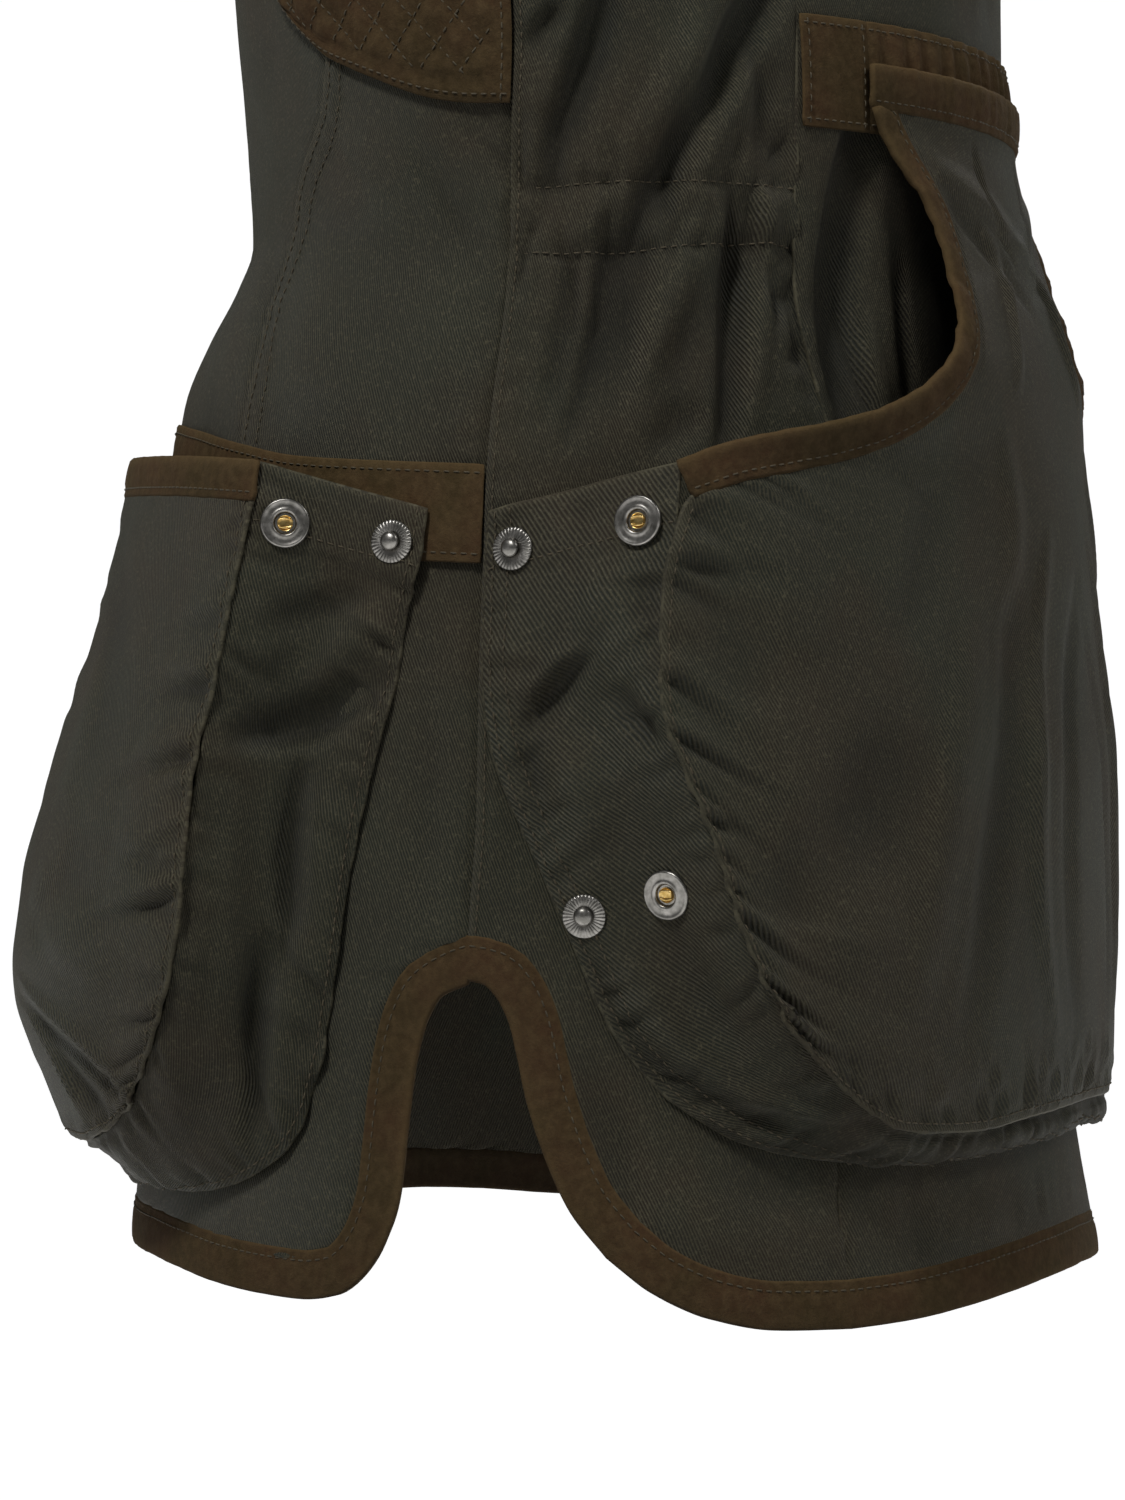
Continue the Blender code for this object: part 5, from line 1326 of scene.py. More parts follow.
def make_front_trim():
    """Hip bands, quilted gun patches and the front placket."""
    spots = evened(gun_patch_spots(), *CELLS["gun_patch"])
    for word, side in SIDES:
        turn = np.radians(np.linspace(HIP_BAND_TOP[0][0], HIP_BAND_TOP[-1][0], 96))
        top = hip_band(turn)
        share = np.linspace(1, 0, 12)[:, None]
        band = np.stack(np.broadcast_arrays(turn[None], top[None] - HIP_BAND_WIDTH * share), -1)
        u, v = spot_flat(band)
        net = off_body(band, BAND_OFF + SUEDE + unevenness(u, v, 100 + side, 0.0002, 0.03))
        net = pressed(net, 110 + side, ("top", "bottom"), 0.0022)
        for edge in ("top", "bottom"):
            stitched(f"lower_{word}", turned_side(seam_line(net, edge, 0.0022), side))
        thing = skin(f"hip_band_{word}", net, SUEDE, side, ("top", "bottom"))

        u, v = spot_flat(spots)
        net = off_body(spots, PATCH_OFF + SUEDE)
        border = np.min([from_edge(net, edge)[0] for edge in ("left", "bottom", "right")], axis=0)
        inside = eased_in((border - 0.0055) / 0.003)
        rise = (quilt(u, v) * inside + 0.0006 * hump((border - 0.0035) / 0.0035)
                - 0.0004 * hump((border - 0.0068) / 0.0016))
        net = lifted(net, rise + unevenness(u, v, 120 + side, 0.0003, 0.03))
        for edge in ("left", "bottom", "right"):
            stitched(f"chest_{word}", turned_side(seam_line(net, edge, EDGE_STITCH), side), QUILT_STITCH)
        quilt_lines(net, u, v, border, word, side)
        thing = skin(f"gun_patch_{word}", net, SUEDE, side, ("left", "bottom"))

    height = np.linspace(PLACKET_BOTTOM, PLACKET_TOP, 160)[:, None]
    wide = eased(height, BODY_TABLE[:, 0], BODY_TABLE[:, 1])
    turn = np.arcsin(PLACKET_HALF / wide) * np.linspace(-1, 1, 15)[None]
    placket = np.stack(np.broadcast_arrays(turn, height), -1)
    u, v = spot_flat(placket)
    net = off_body(placket, LIFT_OFF + PLACKET_THICK + unevenness(u, v, 130, 0.0003, 0.04))
    net = pressed(net, 131, ("left", "right"), 0.0030)
    for edge in ("left", "right"):
        stitched("back", seam_line(net, edge, 0.0030))
    thing = shell("placket", net, PLACKET_THICK, "twill", ["placket"], np.stack([u, v], -1),
                  edge_wear(net, ("left", "right")))


def quilt_lines(net, u, v, border, word, side):
    """Stitches in the quilting's dips: points of the patch where a slanting line's number is whole."""
    ways = normals(net)
    for a in (QUILT_LEAN, -QUILT_LEAN):
        number = (u * math.cos(a) + v * math.sin(a)) / QUILT_PITCH
        for whole in range(int(np.ceil(number.min())), int(np.floor(number.max())) + 1):
            low, high = number[:, :-1] - whole, number[:, 1:] - whole
            row, column = np.nonzero((low * high <= 0) & (border[:, :-1] > 0.0075))
            if len(row) < 4:
                continue
            t = (low[row, column] / (low[row, column] - high[row, column] + 1e-12))[:, None]
            place = (1 - t) * net[row, column] + t * net[row, column + 1]
            order = np.argsort(place[:, 2])
            line = place[order], ways[row, column][order]
            stitched(f"chest_{word}", turned_side(line, side), QUILT_STITCH)


def edge_wear(net, edges):
    """Wear along a piece's folded edges."""
    return np.max([np.exp(-(from_edge(net, edge)[0] / 0.0012) ** 2) for edge in edges], axis=0)


def pressed(net, seed, edges, away):
    """A sewn-on band: a groove and small puckers along each stitched edge, and a slight fullness between."""
    more = np.zeros(net.shape[:2])
    for number, edge in enumerate(edges):
        off, along = from_edge(net, edge)
        wave = ripple(along, seed + number) * hump((off - away) / 0.006)
        more += -0.00035 * hump((off - away) / 0.0015) + 0.00018 * wave
        more -= 0.0002 * hump(off / 0.0012)
    return lifted(net, more)


def skin(name, net, thick, side, edges, finish="suede", uv=None, lift=0.0):
    """A band or patch of one layer, mirrored for the wearer's right."""
    # painted shade: the troughs of lift darken the colour; folded edges are rubbed paler
    wear_and_shade = edge_wear(net, edges) - crease_shade(lift)
    uv = grain(net) if uv is None else uv
    if side < 0:
        net, wear_and_shade, uv = flipped(net), wear_and_shade[:, ::-1], uv[:, ::-1] * (-1, 1)
    return shell(name, net, thick, finish, [name], uv, wear_and_shade)


# pockets and pouch

def gusset_net(edge, edge_lift, base, base_lift, rows, fold):
    """The bellows strip between a pocket face's edge and its base line, bowed in or out by fold."""
    high, low = off_body(edge, edge_lift), off_body(base, base_lift)
    along = np.gradient((high + low) / 2, axis=0)
    way = np.cross(along, low - high)
    way /= np.linalg.norm(way, axis=1, keepdims=True)
    middle = (high + low).mean(axis=0) / 2
    if np.sum(way * ((high + low) / 2 - middle)) < 0:
        way = -way
    across = np.linspace(0, 1, rows + 1)[:, None]
    place = np.linspace(0, 1, len(edge))[None]
    bow = fold(place, across)[..., None]
    return (1 - across[..., None]) * high[None] + across[..., None] * low[None] + way[None] * bow


def pocket_fold(place, across):
    """The front pocket's gusset sags in down its middle and out at its foot."""
    share = 0.35 + 0.65 * np.sin(math.pi * np.clip(place * 2.2, 0, 1))
    trough = -0.0075 * np.sin(math.pi * across) ** 2 * share
    foot = 0.0060 * np.sin(math.pi * across) * hump((place - 0.44) / 0.17)
    crease = -0.0030 * np.sin(math.pi * across) * hump((place - 0.13 + 0.04 * across) / 0.05)
    return trough + foot + crease


def pouch_fold(place, across):
    """The pouch's gusset folds in at mid height on both sides and bellies out below."""
    side = np.minimum(place, 1 - place)
    trough = -0.0060 * np.sin(math.pi * across) ** 2 * hump((side - 0.19) / 0.17)
    crease = -0.0035 * np.sin(math.pi * across) * hump((side - 0.115 + 0.03 * across) / 0.03)
    foot = 0.0050 * np.sin(math.pi * across) * hump((side - 0.42) / 0.20)
    return trough + crease + foot


POCKET_GUSSET_CREASES = (
    (480, 23, 498, 14, 517, 0, 9, 3.9),
    (456, 42, 472, 21, 498, 0, 10, -6.0),
    (488, 42, 504, 26, 517, 12, 8, -2.9),
    (464, 19, 438, 19, 396, 12, 7, -5.3),
    (412, 19, 381, 21, 352, 7, 8, -6.0),
    (462, 12, 430, 7, 404, 5, 9, 2.9),
    (420, 12, 399, 12, 376, 12, 7, 2.9),
    (420, 45, 402, 45, 383, 45, 5, -2.2),
    (446, 37, 412, 33, 363, 30, 10, 2.2),
    (396, 0, 391, 0, 383, 5, 6, 2.1),
    (383, 0, 381, 0, 376, 2, 5, -1.7),
    (366, 0, 344, 0, 309, 0, 7, 1.8),
    (504, 42, 493, 37, 480, 37, 8, 1.7),
)
POUCH_GUSSET_CREASES = (
    (687, 16, 680, 26, 668, 34, 7, -4.9),
    (692, 20, 685, 26, 675, 34, 6, 2.3),
    (670, 34, 658, 34, 643, 36, 6, -3.2),
    (675, 14, 661, 8, 648, 4, 7, -3.8),
    (675, 8, 663, 4, 653, 2, 5, 1.9),
    (668, 26, 648, 26, 629, 28, 10, 3.2),
    (614, 38, 587, 36, 560, 40, 9, -3.8),
    (609, 34, 582, 32, 555, 26, 9, 3.4),
    (604, 20, 582, 18, 555, 16, 9, -2.3),
    (733, 20, 728, 20, 715, 18, 5, -1.4),
    (710, 14, 700, 16, 690, 18, 7, 1.9),
    (710, 6, 695, 4, 680, 2, 7, -2.3),
    (567, 28, 545, 24, 521, 10, 7, 2.4),
    (575, 38, 550, 34, 521, 24, 7, -2.4),
)
POCKET_FACE_CREASES = (
    (101, -235, 142, -255, 153, -271, 5, 2.2),
    (95, -240, 136, -258, 151, -272, 5, -2.0),
    (103, -243, 122, -262, 125, -284, 5, 1.9),
    (119, -254, 133, -269, 140, -278, 9, -3.4),
    (86, -96, 126, -142, 124, -180, 21, -2.2),
    (164, -149, 163, -193, 159, -228, 21, 2.2),
    (110, -205, 138, -223, 153, -236, 18, 1.8),
    (138, -185, 130, -206, 115, -221, 16, -1.8),
)
POUCH_FACE_CREASES = (
    (380, -156, 353, -196, 343, -216, 30, -4.1),
    (331, -148, 350, -197, 372, -240, 25, 3.0),
    (411, -115, 396, -178, 377, -249, 15, 3.0),
    (433, -106, 420, -179, 399, -256, 15, -3.0),
    (463, -92, 439, -175, 455, -253, 9, 3.0),
    (490, -103, 463, -180, 473, -255, 10, -2.2),
    (425, 17, 449, 11, 520, -13, 9, 1.7),
    (421, 11, 437, 1, 486, -26, 9, -2.6),
    (447, 0, 458, -19, 444, -55, 8, 2.5),
    (459, 34, 458, 14, 479, -13, 5, -1.5),
    (432, -66, 436, -93, 425, -123, 11, 1.9),
    (395, -83, 390, -107, 377, -134, 15, -1.9),
    (337, -92, 342, -115, 346, -138, 18, 1.9),
    (314, -110, 324, -132, 334, -155, 18, -1.9),
    (353, -238, 371, -254, 399, -270, 15, 1.9),
)
GUSSET_HEM = 0.0205        # depth of the hem at a gusset's mouth
SEWN_EDGES = ("left", "right", "bottom")
MOUTHS = ("left", "right")


def drawn_in(net, table, side=0):
    """Puckers beside several edges of a face, each edge with its seed, reach, rise and pitch."""
    return [puckers(*from_edge(net, edge), seed + side, reach, rise, pitch)
            for edge, seed, reach, rise, pitch in table]


def face_piece(name, net, spots, shade, side):
    """A face's piece. Its cloth runs on under the trim of its mouth; shade is how it is lifted and drawn, and
    its troughs darken the colour as painted shade.
    """
    uv = widened(np.stack(spot_flat(spots), -1), "top")
    return skin(name, extended(net, "top", 0.004, 0.0003), CLOTH, side, SEWN_EDGES, "twill", uv,
                widened(shade[..., None], "top")[..., 0])


def strip_grain(net):
    """A gusset's cloth is cut with its threads along the strip, so its grain is turned a quarter."""
    flat = grain(net)
    return np.stack([-flat[..., 1], flat[..., 0]], -1)


def gusset_details(net, seed, mouths, creases, snaps):
    """Creases, the doubled hem at each mouth, and the puckers along both long seams. The cloth lies
    flat under each snap."""
    flat = grain(net)
    u, v = flat[..., 0], flat[..., 1]
    more = creased(u, v, creases) + unevenness(u, v, seed, 0.0004, 0.035)
    for snap in snaps:
        more *= 1 - hump(np.maximum(np.linalg.norm(net - centre_of(snap), axis=-1) - 0.006, 0) / 0.010)
    for edge in mouths:
        off, along = from_edge(net, edge)
        more += 0.0007 * (1 - eased_in((off - GUSSET_HEM + 0.0012) / 0.0016))
        wave = ripple(along, seed + 3) * hump((off - 0.018) / 0.009)
        more += -0.0004 * hump((off - GUSSET_HEM + 0.0030) / 0.0014) + 0.00025 * wave
    for number, edge in enumerate(("top", "bottom")):
        off, along = from_edge(net, edge)
        more += puckers(off, along, seed + 5 + number, 0.011, 0.0012)
        more -= 0.0003 * hump((off - EDGE_STITCH) / 0.0014)
    return lifted(net, more), more


# seed, reach, rise and pitch of the puckers beside each edge of a face
POCKET_PUCKERS = (("left", 161, 0.017, 0.0020, 0.0110), ("right", 163, 0.017, 0.0024, 0.0110),
                  ("bottom", 165, 0.008, 0.0010, 0.0065))
POUCH_PUCKERS = (("left", 185, 0.016, 0.0024, 0.0105), ("right", 186, 0.016, 0.0024, 0.0105),
                 ("bottom", 187, 0.011, 0.0017, 0.0060))


def make_front_pockets():
    """The two bellows pockets: face, gusset and suede mouth trim."""
    under, fine = CLOTH + UNDERLAP, 11
    edge = joined(run(POCKET_EDGE_REAR, 12 * fine), run(POCKET_EDGE_BOTTOM, 8 * fine),
                  run(POCKET_EDGE_FRONT, 8 * fine))
    base = run(POCKET_BASE, 28 * fine)
    stand = near_most(front_cover, base[:, 0], base[:, 1], 0.008) + CLOTH + LIFT_OFF
    lift = pocket_lift(edge[:, 0], edge[:, 1]) - under
    gusset = gusset_net(edge, lift, base, stand, 20, pocket_fold)[::-1, ::-1]
    right, left = run(POCKET_EDGE_REAR, 12)[::-1], run(POCKET_EDGE_FRONT, 12)
    bottom, top = run(POCKET_EDGE_BOTTOM, 8)[::-1], run(POCKET_MOUTH, 8)
    left[-1], right[-1] = top[0], top[-1]
    left[-1, 1] -= POCKET_TRIM
    right[-1, 1] -= POCKET_TRIM
    face = evened(coons(bottom, top - (0, POCKET_TRIM), left, right), *CELLS["pocket_face"])
    for word, side in SIDES:
        creases = POCKET_GUSSET_CREASES if side > 0 else varied(POCKET_GUSSET_CREASES, 7)
        net, more = gusset_details(gusset, 140 + side, MOUTHS, creases,
                                   ("pocket_stud_left", "pocket_socket_left"))
        group = f"pocket_{word}"
        for mouth in MOUTHS:
            stitched(group, turned_side(seam_line(net, mouth, GUSSET_HEM - 0.003), side))
        stitched(group, turned_side(seam_line(net, "bottom", EDGE_STITCH), side))
        kept[f"pocket_gusset_{word}"] = net
        # more also paints the gusset's troughs darker, as shade
        thing = skin(f"pocket_gusset_{word}", net, CLOTH, side, MOUTHS, "twill", strip_grain(net), more)

        u, v = spot_flat(face)
        creases = POCKET_FACE_CREASES if side > 0 else varied(POCKET_FACE_CREASES, 8)
        flat_lift = pocket_lift(face[..., 0], v)
        lift = flat_lift + creased(u, v, creases) + unevenness(u, v, 150 + side, 0.0005)
        plain = off_body(face, flat_lift)
        drawn = sum(drawn_in(plain, POCKET_PUCKERS, side))
        hold = eased_in(from_edge(plain, "top")[0] / 0.012)
        net = lifted(off_body(face, flat_lift + (lift - flat_lift) * hold), drawn * hold)
        net = pressed(net, 160 + side, SEWN_EDGES, EDGE_STITCH)
        for edge_name in SEWN_EDGES:
            stitched(group, turned_side(seam_line(net, edge_name, EDGE_STITCH), side))
        thing = face_piece(f"pocket_face_{word}", net, face,
                           hold * (lift - flat_lift + PUCKER_SHADE * drawn), side)

        line = run(POCKET_MOUTH, 96)
        t = np.linspace(1, 0, 7)[:, None, None]
        spots = line[None] - t * (0, POCKET_TRIM - SEAM)
        net = off_body(spots, pocket_lift(spots[..., 0], spots[..., 1]) + BINDING_PROUD)
        thing = bound(f"pocket_trim_{word}", [f"pocket_trim_{word}"], net, CLOTH + 2 * BINDING_PROUD,
                      170 + side, group, side, stitch="bottom", away=TRIM_STITCH)


def make_pouch():
    """The game pouch across the back: face, gusset, trims of its side openings and top band."""
    opening = run(POUCH_OPENING, 11)
    opening[0, 1] -= SEAM
    inner = inset(opening, TRIM)
    inner[0, 1] = opening[0, 1]
    edge_table = spots_of(POUCH_EDGE)
    front = edge_table[1:10]
    front = np.concatenate([[(inner[-1, 0], inner[-1, 1])], front[front[:, 1] < inner[-1, 1] - 0.004]])
    left = joined(inner, run(front, 8))
    bottom = mirrored(run(edge_table[9:], 6))
    right = left * (-1, 1) + (2 * math.pi, 0)
    top = np.stack([np.linspace(left[0, 0], right[0, 0], len(bottom)), np.full(len(bottom), left[0, 1])], -1)
    spots = evened(coons(bottom, top, left[::-1], right[::-1]), *CELLS["pouch_face"])
    u, v = spot_flat(spots)
    creases = POUCH_FACE_CREASES + varied(POUCH_FACE_CREASES, 9, 2000 * math.pi * GIRTH)
    lift = pouch_lift(spots[..., 0], v) + creased(u, v, creases) + unevenness(u, v, 180, 0.0006, 0.07)
    plain = pouch_lift(spots[..., 0], v)
    flat = off_body(spots, plain)
    beside = np.minimum(from_edge(flat, "left")[0], from_edge(flat, "right")[0])
    high = eased_in((v + 0.090) / 0.010)
    hold = eased_in(from_edge(flat, "top")[0] / 0.012) * (1 - high * (1 - eased_in(beside / 0.012)))
    drawn = drawn_in(flat, POUCH_PUCKERS)
    drawn = drawn[0] * (1 - high) + drawn[1] * (1 - high) + drawn[2]
    net = lifted(off_body(spots, plain + (lift - plain) * hold), drawn * hold)
    net = pressed(net, 181, SEWN_EDGES, EDGE_STITCH)
    seam = v[:, 0] < -0.093
    for edge_name in ("left", "right"):
        stitched("pouch", tuple(part[seam] for part in seam_line(net, edge_name, EDGE_STITCH)))
    stitched("pouch", seam_line(net, "bottom", EDGE_STITCH))
    thing = face_piece("pouch_face", net, spots, hold * (lift - plain + PUCKER_SHADE * drawn), 1)

    fine = evened_line(opening, 0.0024)
    line = inset(fine, TRIM - SEAM)
    line[:, 1] = np.minimum(line[:, 1], fine[0, 1])
    t = np.linspace(0, 1, 7)[:, None, None]
    spots = (1 - t) * fine[None] + t * line[None]
    for word, side in SIDES:
        trim = off_body(spots, pouch_lift(spots[..., 0], spots[..., 1]) + BINDING_PROUD)
        thing = bound(f"pouch_trim_{word}", [f"pouch_trim_{word}"], trim, CLOTH + 2 * BINDING_PROUD,
                      190 + side, "pouch", side, away=TRIM_STITCH, slack=0.0007)

    edge, base = mirrored(run(POUCH_EDGE, 210)), mirrored(run(POUCH_BASE, 210))
    lift = pouch_lift(edge[:, 0], edge[:, 1]) - CLOTH - UNDERLAP
    stand = near_most(folds, base[:, 0], base[:, 1]) + CLOTH + LIFT_OFF
    net = gusset_net(edge, lift, base, stand, 20, pouch_fold)[:, ::-1]
    creases = POUCH_GUSSET_CREASES + varied(POUCH_GUSSET_CREASES, 10, 1000 * grain(net)[0, -1, 0])
    snaps = [f"pouch_{kind}_{word}" for kind in ("stud_upper", "socket_upper", "stud_lower", "socket_lower")
             for word in ("left", "right")]
    net, more = gusset_details(net, 200, MOUTHS, creases, snaps)
    for mouth in MOUTHS:
        stitched("pouch", seam_line(net, mouth, GUSSET_HEM - 0.003))
    for away in (EDGE_STITCH, 0.0075):
        stitched("pouch", seam_line(net, "top", away))
    kept["pouch_gusset"] = net
    # more also paints the gusset's troughs darker, as shade
    thing = skin("pouch_gusset", net, CLOTH, 1, MOUTHS, "twill", strip_grain(net), more)

    turn = np.radians(np.linspace(147, 213, 90))[None]
    height = np.linspace(POUCH_TOP + SEAM, TOP_BAND_TOP, 8)[:, None]
    spots = np.stack(np.broadcast_arrays(turn, height), -1)
    net = off_body(spots, pouch_lift(spots[..., 0], spots[..., 1]) + BINDING_PROUD)
    net = lifted(net, 0.0005 * ripple(from_edge(net, "left")[0], 210, 0.012) + 0.0004)
    thing = bound("pouch_top_band", ["pouch_top_band"], net, CLOTH + 2 * BINDING_PROUD, 211, "pouch",
                  stitch="bottom", away=TRIM_STITCH)


def belt_ripple(turn):
    """The belt's gathers, uneven, where it is drawn in on its elastic."""
    start = math.radians(BELT_GATHERED)
    share = (turn - start) / (2 * math.pi - 2 * start)
    fade = np.clip(np.minimum(share, 1 - share) / 0.03, 0, 1)
    uneven = share + 0.006 * np.sin(2 * math.pi * 7.3 * share)
    return 0.0010 * fade * (1 + np.sin(2 * math.pi * 0.72 * BELT_GATHERS * uneven))


def make_belt():
    """The suede belt over the back of the waist: two plain ends and a gathered middle."""
    start, middle = math.radians(BELT_START), math.radians(BELT_GATHERED)
    gap = SEAM / 0.13
    for name, low, high, count in (("belt_end_left", start, middle - gap, 14),
                                   ("belt_gathered", middle, 2 * math.pi - middle, 280),
                                   ("belt_end_right", 2 * math.pi - middle + gap, 2 * math.pi - start, 14)):
        turn = np.linspace(low, high, count)[None]
        height = np.linspace(BELT_BOTTOM, BELT_TOP, 16)[:, None]
        spots = np.stack(np.broadcast_arrays(turn, height), -1)
        under = near_most(folds, spots[..., 0], spots[..., 1], 0.008) + LIFT_OFF
        full = np.sin(math.pi * np.clip((height - BELT_BOTTOM) / (BELT_TOP - BELT_BOTTOM), 0.06, 0.94)) ** 0.5
        ripple_here = belt_ripple(spots[..., 0]) * full if name == "belt_gathered" else 0.0
        net = off_body(spots, under + ripple_here + SUEDE)
        net = pressed(net, 220, ("top", "bottom"), 0.0020)
        for edge_name in ("top", "bottom") + (() if name == "belt_gathered" else ("left", "right")):
            stitched("back", seam_line(net, edge_name, 0.0020))
        thing = skin(name, net, SUEDE, 1, ("top", "bottom"))


# snaps: profiles are radius and rise in mm

STUD_BASE = ((2.6, 0.75), (3.2, 1.00), (5.6, 0.80), (6.3, 0.55), (6.5, 0.2), (6.5, 0.0))
STUD_POST = ((0, 3.45), (0.9, 3.40), (1.8, 3.15), (2.5, 2.7), (2.85, 2.15), (2.75, 1.65), (2.35, 1.25),
             (2.2, 0.75))
SOCKET_RING = ((2.35, 0.16), (3.0, 0.18), (3.2, 0.5), (3.3, 1.0), (3.6, 1.35), (4.1, 1.45), (4.5, 1.25),
               (4.9, 1.15), (6.3, 1.1), (6.7, 1.35), (7.1, 1.3), (7.4, 0.9), (7.5, 0.3), (7.5, 0.0))
CAP = ((0, 1.85), (2.0, 1.85), (4.2, 1.7), (5.8, 1.3), (6.9, 0.8), (7.4, 0.35), (7.5, 0.0))
WELL = ((0, 0.15), (1.3, 0.15), (1.9, 0.3), (2.2, 0.65), (2.35, 0.7), (2.4, 0.2), (2.4, 0.0))
GROOVES = 32               # radial grooves of a stud's base
GROOVE_INNER, GROOVE_OUTER = 0.0034, 0.0062


def spun(profile, sides, groove=0.0):
    """A profile turned about its axis, in metres, and cut by radial grooves between two radii."""
    radius, rise = np.array(profile).T / 1000
    angle = np.arange(sides) * 2 * math.pi / sides
    depth = groove * np.clip(np.cos(angle * GROOVES), 0, 1) ** 0.5
    on = (radius > GROOVE_INNER) & (radius < GROOVE_OUTER)
    x, y = radius[:, None] * np.cos(angle), radius[:, None] * np.sin(angle)
    z = rise[:, None] - depth[None] * on[:, None]
    return np.stack([x, y, z], -1)


def basis_of(axis):
    """The turning matrix that lays a piece's own axis along this one."""
    return np.array(Vector(axis).normalized().to_track_quat("Z", "X").to_matrix())


def snap_piece(name, node, grid, place, axis, finish, cap=False):
    """A turned piece set on its axis. Its grid's rows run from the middle out, and its foot is closed."""
    rows, sides = grid.shape[:2]
    points = grid.reshape(-1, 3) @ basis_of(axis).T + place
    number = np.arange(rows * sides).reshape(rows, sides)
    around = np.roll(number, -1, axis=1)
    faces = [np.stack([number[:-1], number[1:], around[1:], around[:-1]], -1).reshape(-1, 4)]
    foot = points[number[-1]].mean(axis=0)
    points = np.concatenate([points, [foot]])
    last = np.full(sides, rows * sides)
    if cap:
        faces.append(np.stack([number[-1], last, last, around[-1]], -1))
    else:
        faces.append(np.stack([number[-1], number[0], around[0], around[-1]], -1))
    faces = np.concatenate(faces)
    mesh = bpy.data.meshes.new(name)
    mesh.from_pydata(points.tolist(), [], [tuple(dict.fromkeys(f)) for f in faces.tolist()])
    mesh.materials.append(materials[finish])
    mesh.validate()
    mesh.shade_smooth()
    mesh.set_sharp_from_angle(angle=math.radians(50))
    thing = shown(name + "_shown", mesh)
    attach(thing, "root")
    if node:
        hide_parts(node)
    return thing


def nearest(net, place, reach=0.0068):
    """Where a disc at the place would lie on the net, and its outward way: the mean way of the cloth
    within its reach, moved out until only the least of the cloth stands through it."""
    gap = np.linalg.norm(net - place, axis=-1)
    near = gap < max(reach, gap.min() + 0.002)
    way = normals(net)[near].mean(axis=0)
    way /= np.linalg.norm(way)
    return place + way * (np.percentile((net[near] - place) @ way, 88) - 0.0001), way


def centre_of(node):
    """The middle of a node's box."""
    low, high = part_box(node)
    return np.array([(a + b) / 2 for a, b in zip(low, high)])


def make_snaps():
    """Every snap sits where its solid is, on the cloth that carries it."""
    for word, side in SIDES:
        for base in ("pocket_stud", "pocket_socket", "pouch_stud_upper", "pouch_socket_upper",
                     "pouch_stud_lower", "pouch_socket_lower"):
            node, on_pocket = f"{base}_{word}", base.startswith("pocket")
            net = kept[f"pocket_gusset_{word}" if on_pocket else "pouch_gusset"]
            mirror = (side if on_pocket else 1, 1, 1)
            place, axis = nearest(net, centre_of(node) * mirror)
            place, axis = place * mirror, axis * mirror
            if "stud" in base:
                snap_piece(node, node, spun(STUD_BASE, 192, 0.00022), place, axis, "nickel")
                snap_piece(f"{base}_post_{word}", None, spun(STUD_POST, 40), place, axis, "nickel", True)
            else:
                snap_piece(node, node, spun(SOCKET_RING, 64), place, axis, "nickel")
                socket_spring(f"{base}_spring_{word}", place, axis)
    for number in range(1, 6):
        node = f"placket_snap_{number}"
        spot = np.array((0.0, centre_of(node)[2] + NECK_HEIGHT))
        place = off_body(spot, LIFT_OFF + PLACKET_THICK + 0.0002)
        snap_piece(node, node, spun(CAP, 64), place, outward(spot[0], spot[1]), "nickel", True)


def socket_spring(name, place, axis):
    """The socket's well and the two bars of its spring: a dished brass ring and two bent wires."""
    snap_piece(name, name, spun(WELL, 48), place, axis, "brass", True)
    t = np.linspace(-1, 1, 17)
    bars = []
    for way in (-1, 1):
        path = np.stack([way * (1.35 - 0.4 * t * t) / 1000, 2.0 * t / 1000, np.full(len(t), 0.75 / 1000)], -1)
        angle = np.arange(8) * math.pi / 4
        circle = 0.00038 * np.stack([np.cos(angle), np.zeros(8), np.sin(angle)], -1)
        bars.append(path[:, None] + circle[None])
    basis = basis_of(axis)
    points, faces = [], []
    for k, bar in enumerate(bars):
        number = np.arange(bar.shape[0] * 8).reshape(-1, 8) + k * bar.shape[0] * 8
        around = np.roll(number, -1, axis=1)
        faces += np.stack([number[:-1], around[:-1], around[1:], number[1:]], -1).reshape(-1, 4).tolist()
        faces += [number[0][::-1].tolist(), number[-1].tolist()]
        points.append(bar.reshape(-1, 3) @ basis.T + place)
    mesh = bpy.data.meshes.new(name + "_bars")
    mesh.from_pydata(np.concatenate(points).tolist(), [], faces)
    mesh.materials.append(materials["brass"])
    mesh.shade_smooth()
    thing = shown(name + "_bars", mesh)
    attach(thing, "root")


# camera, light and floor

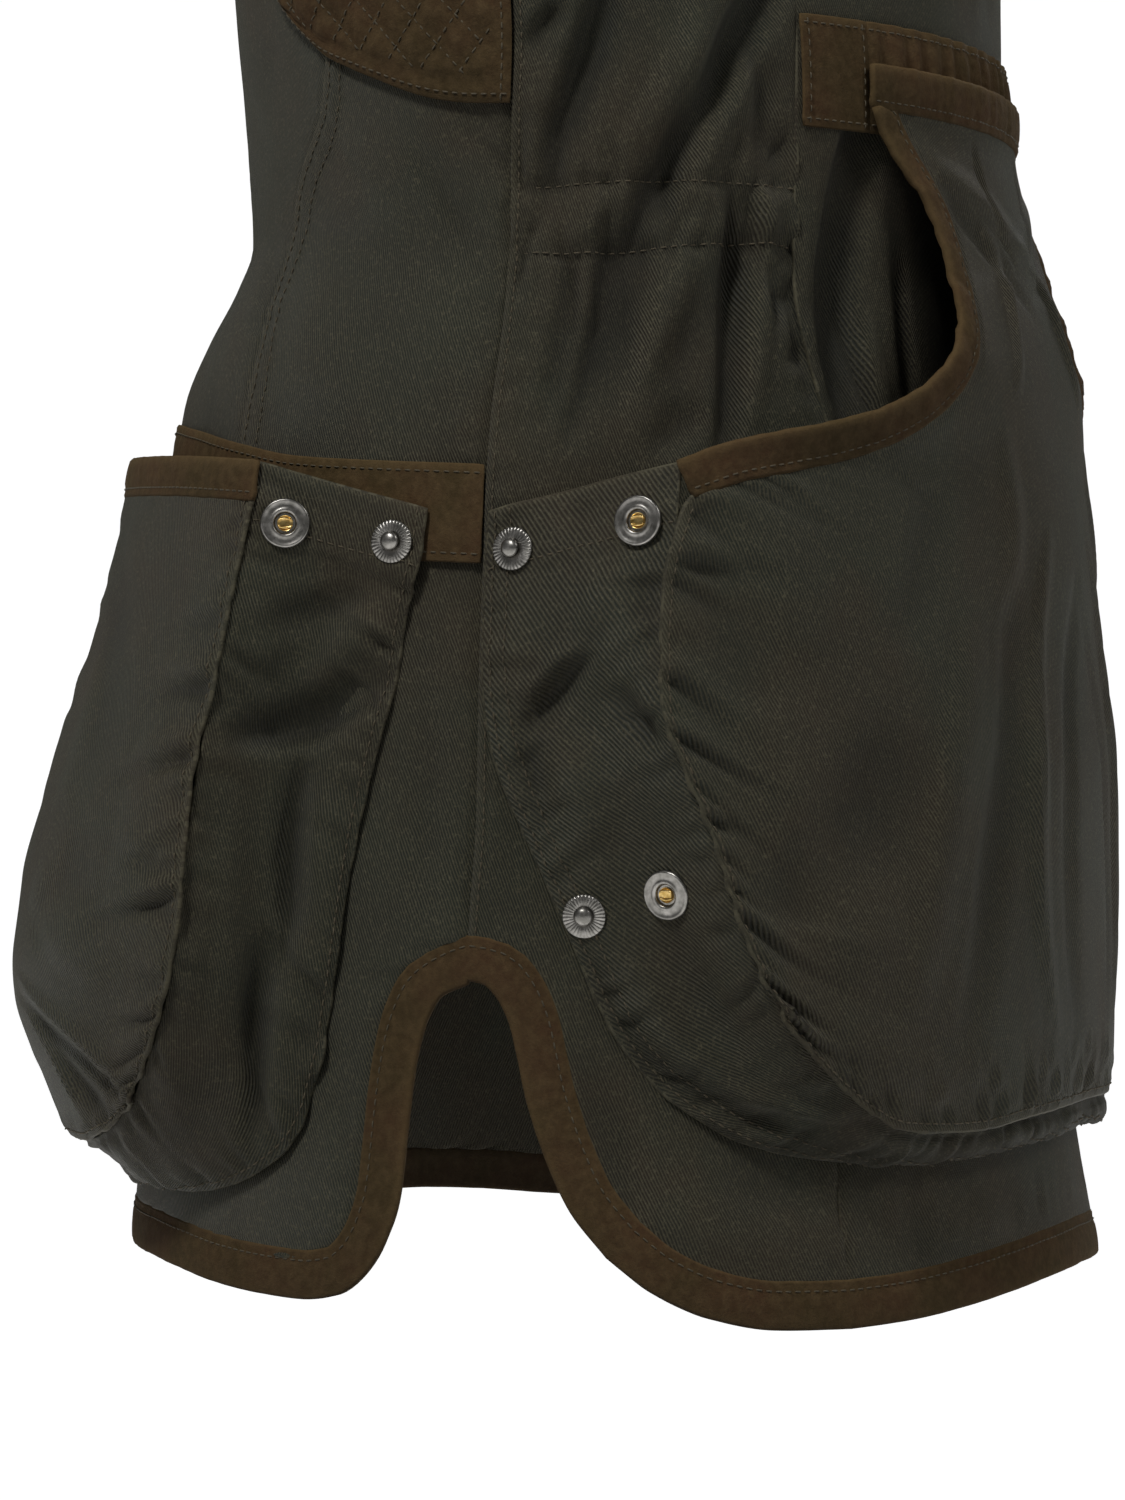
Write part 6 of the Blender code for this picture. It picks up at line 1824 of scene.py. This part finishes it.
def make_camera():
    """The photograph's camera: level, beside the wearer's left and a little behind it."""
    back = Vector((math.sin(CAMERA_TURN), -math.cos(CAMERA_TURN), 0))
    right = Vector((math.cos(CAMERA_TURN), math.sin(CAMERA_TURN), 0))
    camera = bpy.data.cameras.new("camera")
    camera.sensor_width = 36.0
    camera.lens = FOCAL_PIXELS * camera.sensor_width / PHOTO_HIGH
    camera.clip_start, camera.clip_end = 0.05, 60
    thing = shown("camera", camera)
    thing.location = back * CAMERA_AWAY - right * CAMERA_ASIDE + Vector((0, 0, CAMERA_HEIGHT))
    thing.rotation_euler = (-back).to_track_quat("-Z", "Y").to_euler()
    bpy.context.scene.camera = thing
    return back, right


def make_light(name, place, aim, size, power):
    """A round soft light, aimed at a place and unseen by the camera."""
    light = bpy.data.lights.new(name, "AREA")
    light.shape, light.size, light.energy = "DISK", size, power
    thing = shown(name, light)
    thing.location = place
    thing.rotation_euler = (Vector(aim) - Vector(place)).to_track_quat("-Z", "Y").to_euler()
    thing.visible_camera = False


def make_studio(back, right):
    """Four soft lights round the vest, in a white room with a floor of paper."""
    middle = Vector((0, 0, -0.45))
    up = Vector((0, 0, 1))
    make_light("key", middle + back * 1.35 - right * 0.75 + up * 1.65, middle, 0.4, 24)
    make_light("fill", middle + back * 1.0 + right * 1.6 + up * 1.4, middle, 0.7, 9)
    make_light("rear", middle - back * 2.1 + right * 0.9 + up * 1.2, middle, 0.9, 9)
    make_light("front", middle - right * 1.6 - back * 1.8 + up * 1.2, middle, 0.9, 2)
    mesh = bpy.data.meshes.new("floor")
    sides, radius = 96, 14
    angle = np.arange(sides) * 2 * math.pi / sides
    ring = [(radius * math.cos(a), radius * math.sin(a), FLOOR_HEIGHT) for a in angle]
    mesh.from_pydata(ring, [], [tuple(range(sides))])
    mesh.materials.append(floor_paper())
    floor = shown("floor", mesh)
    floor.visible_diffuse = False
    world = bpy.data.worlds.new("white_room")
    bpy.context.scene.world = world
    world.use_nodes = True
    sky = world.node_tree.nodes["Background"]
    sky.inputs[0].default_value = (1, 1, 1, 1)
    seen = add(world.node_tree, "ShaderNodeLightPath").outputs["Is Camera Ray"]
    world.node_tree.links.new(ranged(world.node_tree, seen, 0.0, 1.0, 0.10, 1.02), sky.inputs[1])
    bpy.context.scene.view_settings.view_transform = "Standard"


materials = {"twill": waxed_twill(), "suede": napped_suede(), "thread": spun_thread(),
             "nickel": brushed_nickel(), "brass": spring_brass()}
kept = {}
make_studio(*make_camera())
make_front()
make_back()
make_bindings()
make_front_trim()
make_front_pockets()
make_pouch()
make_belt()
make_snaps()
make_stitches()
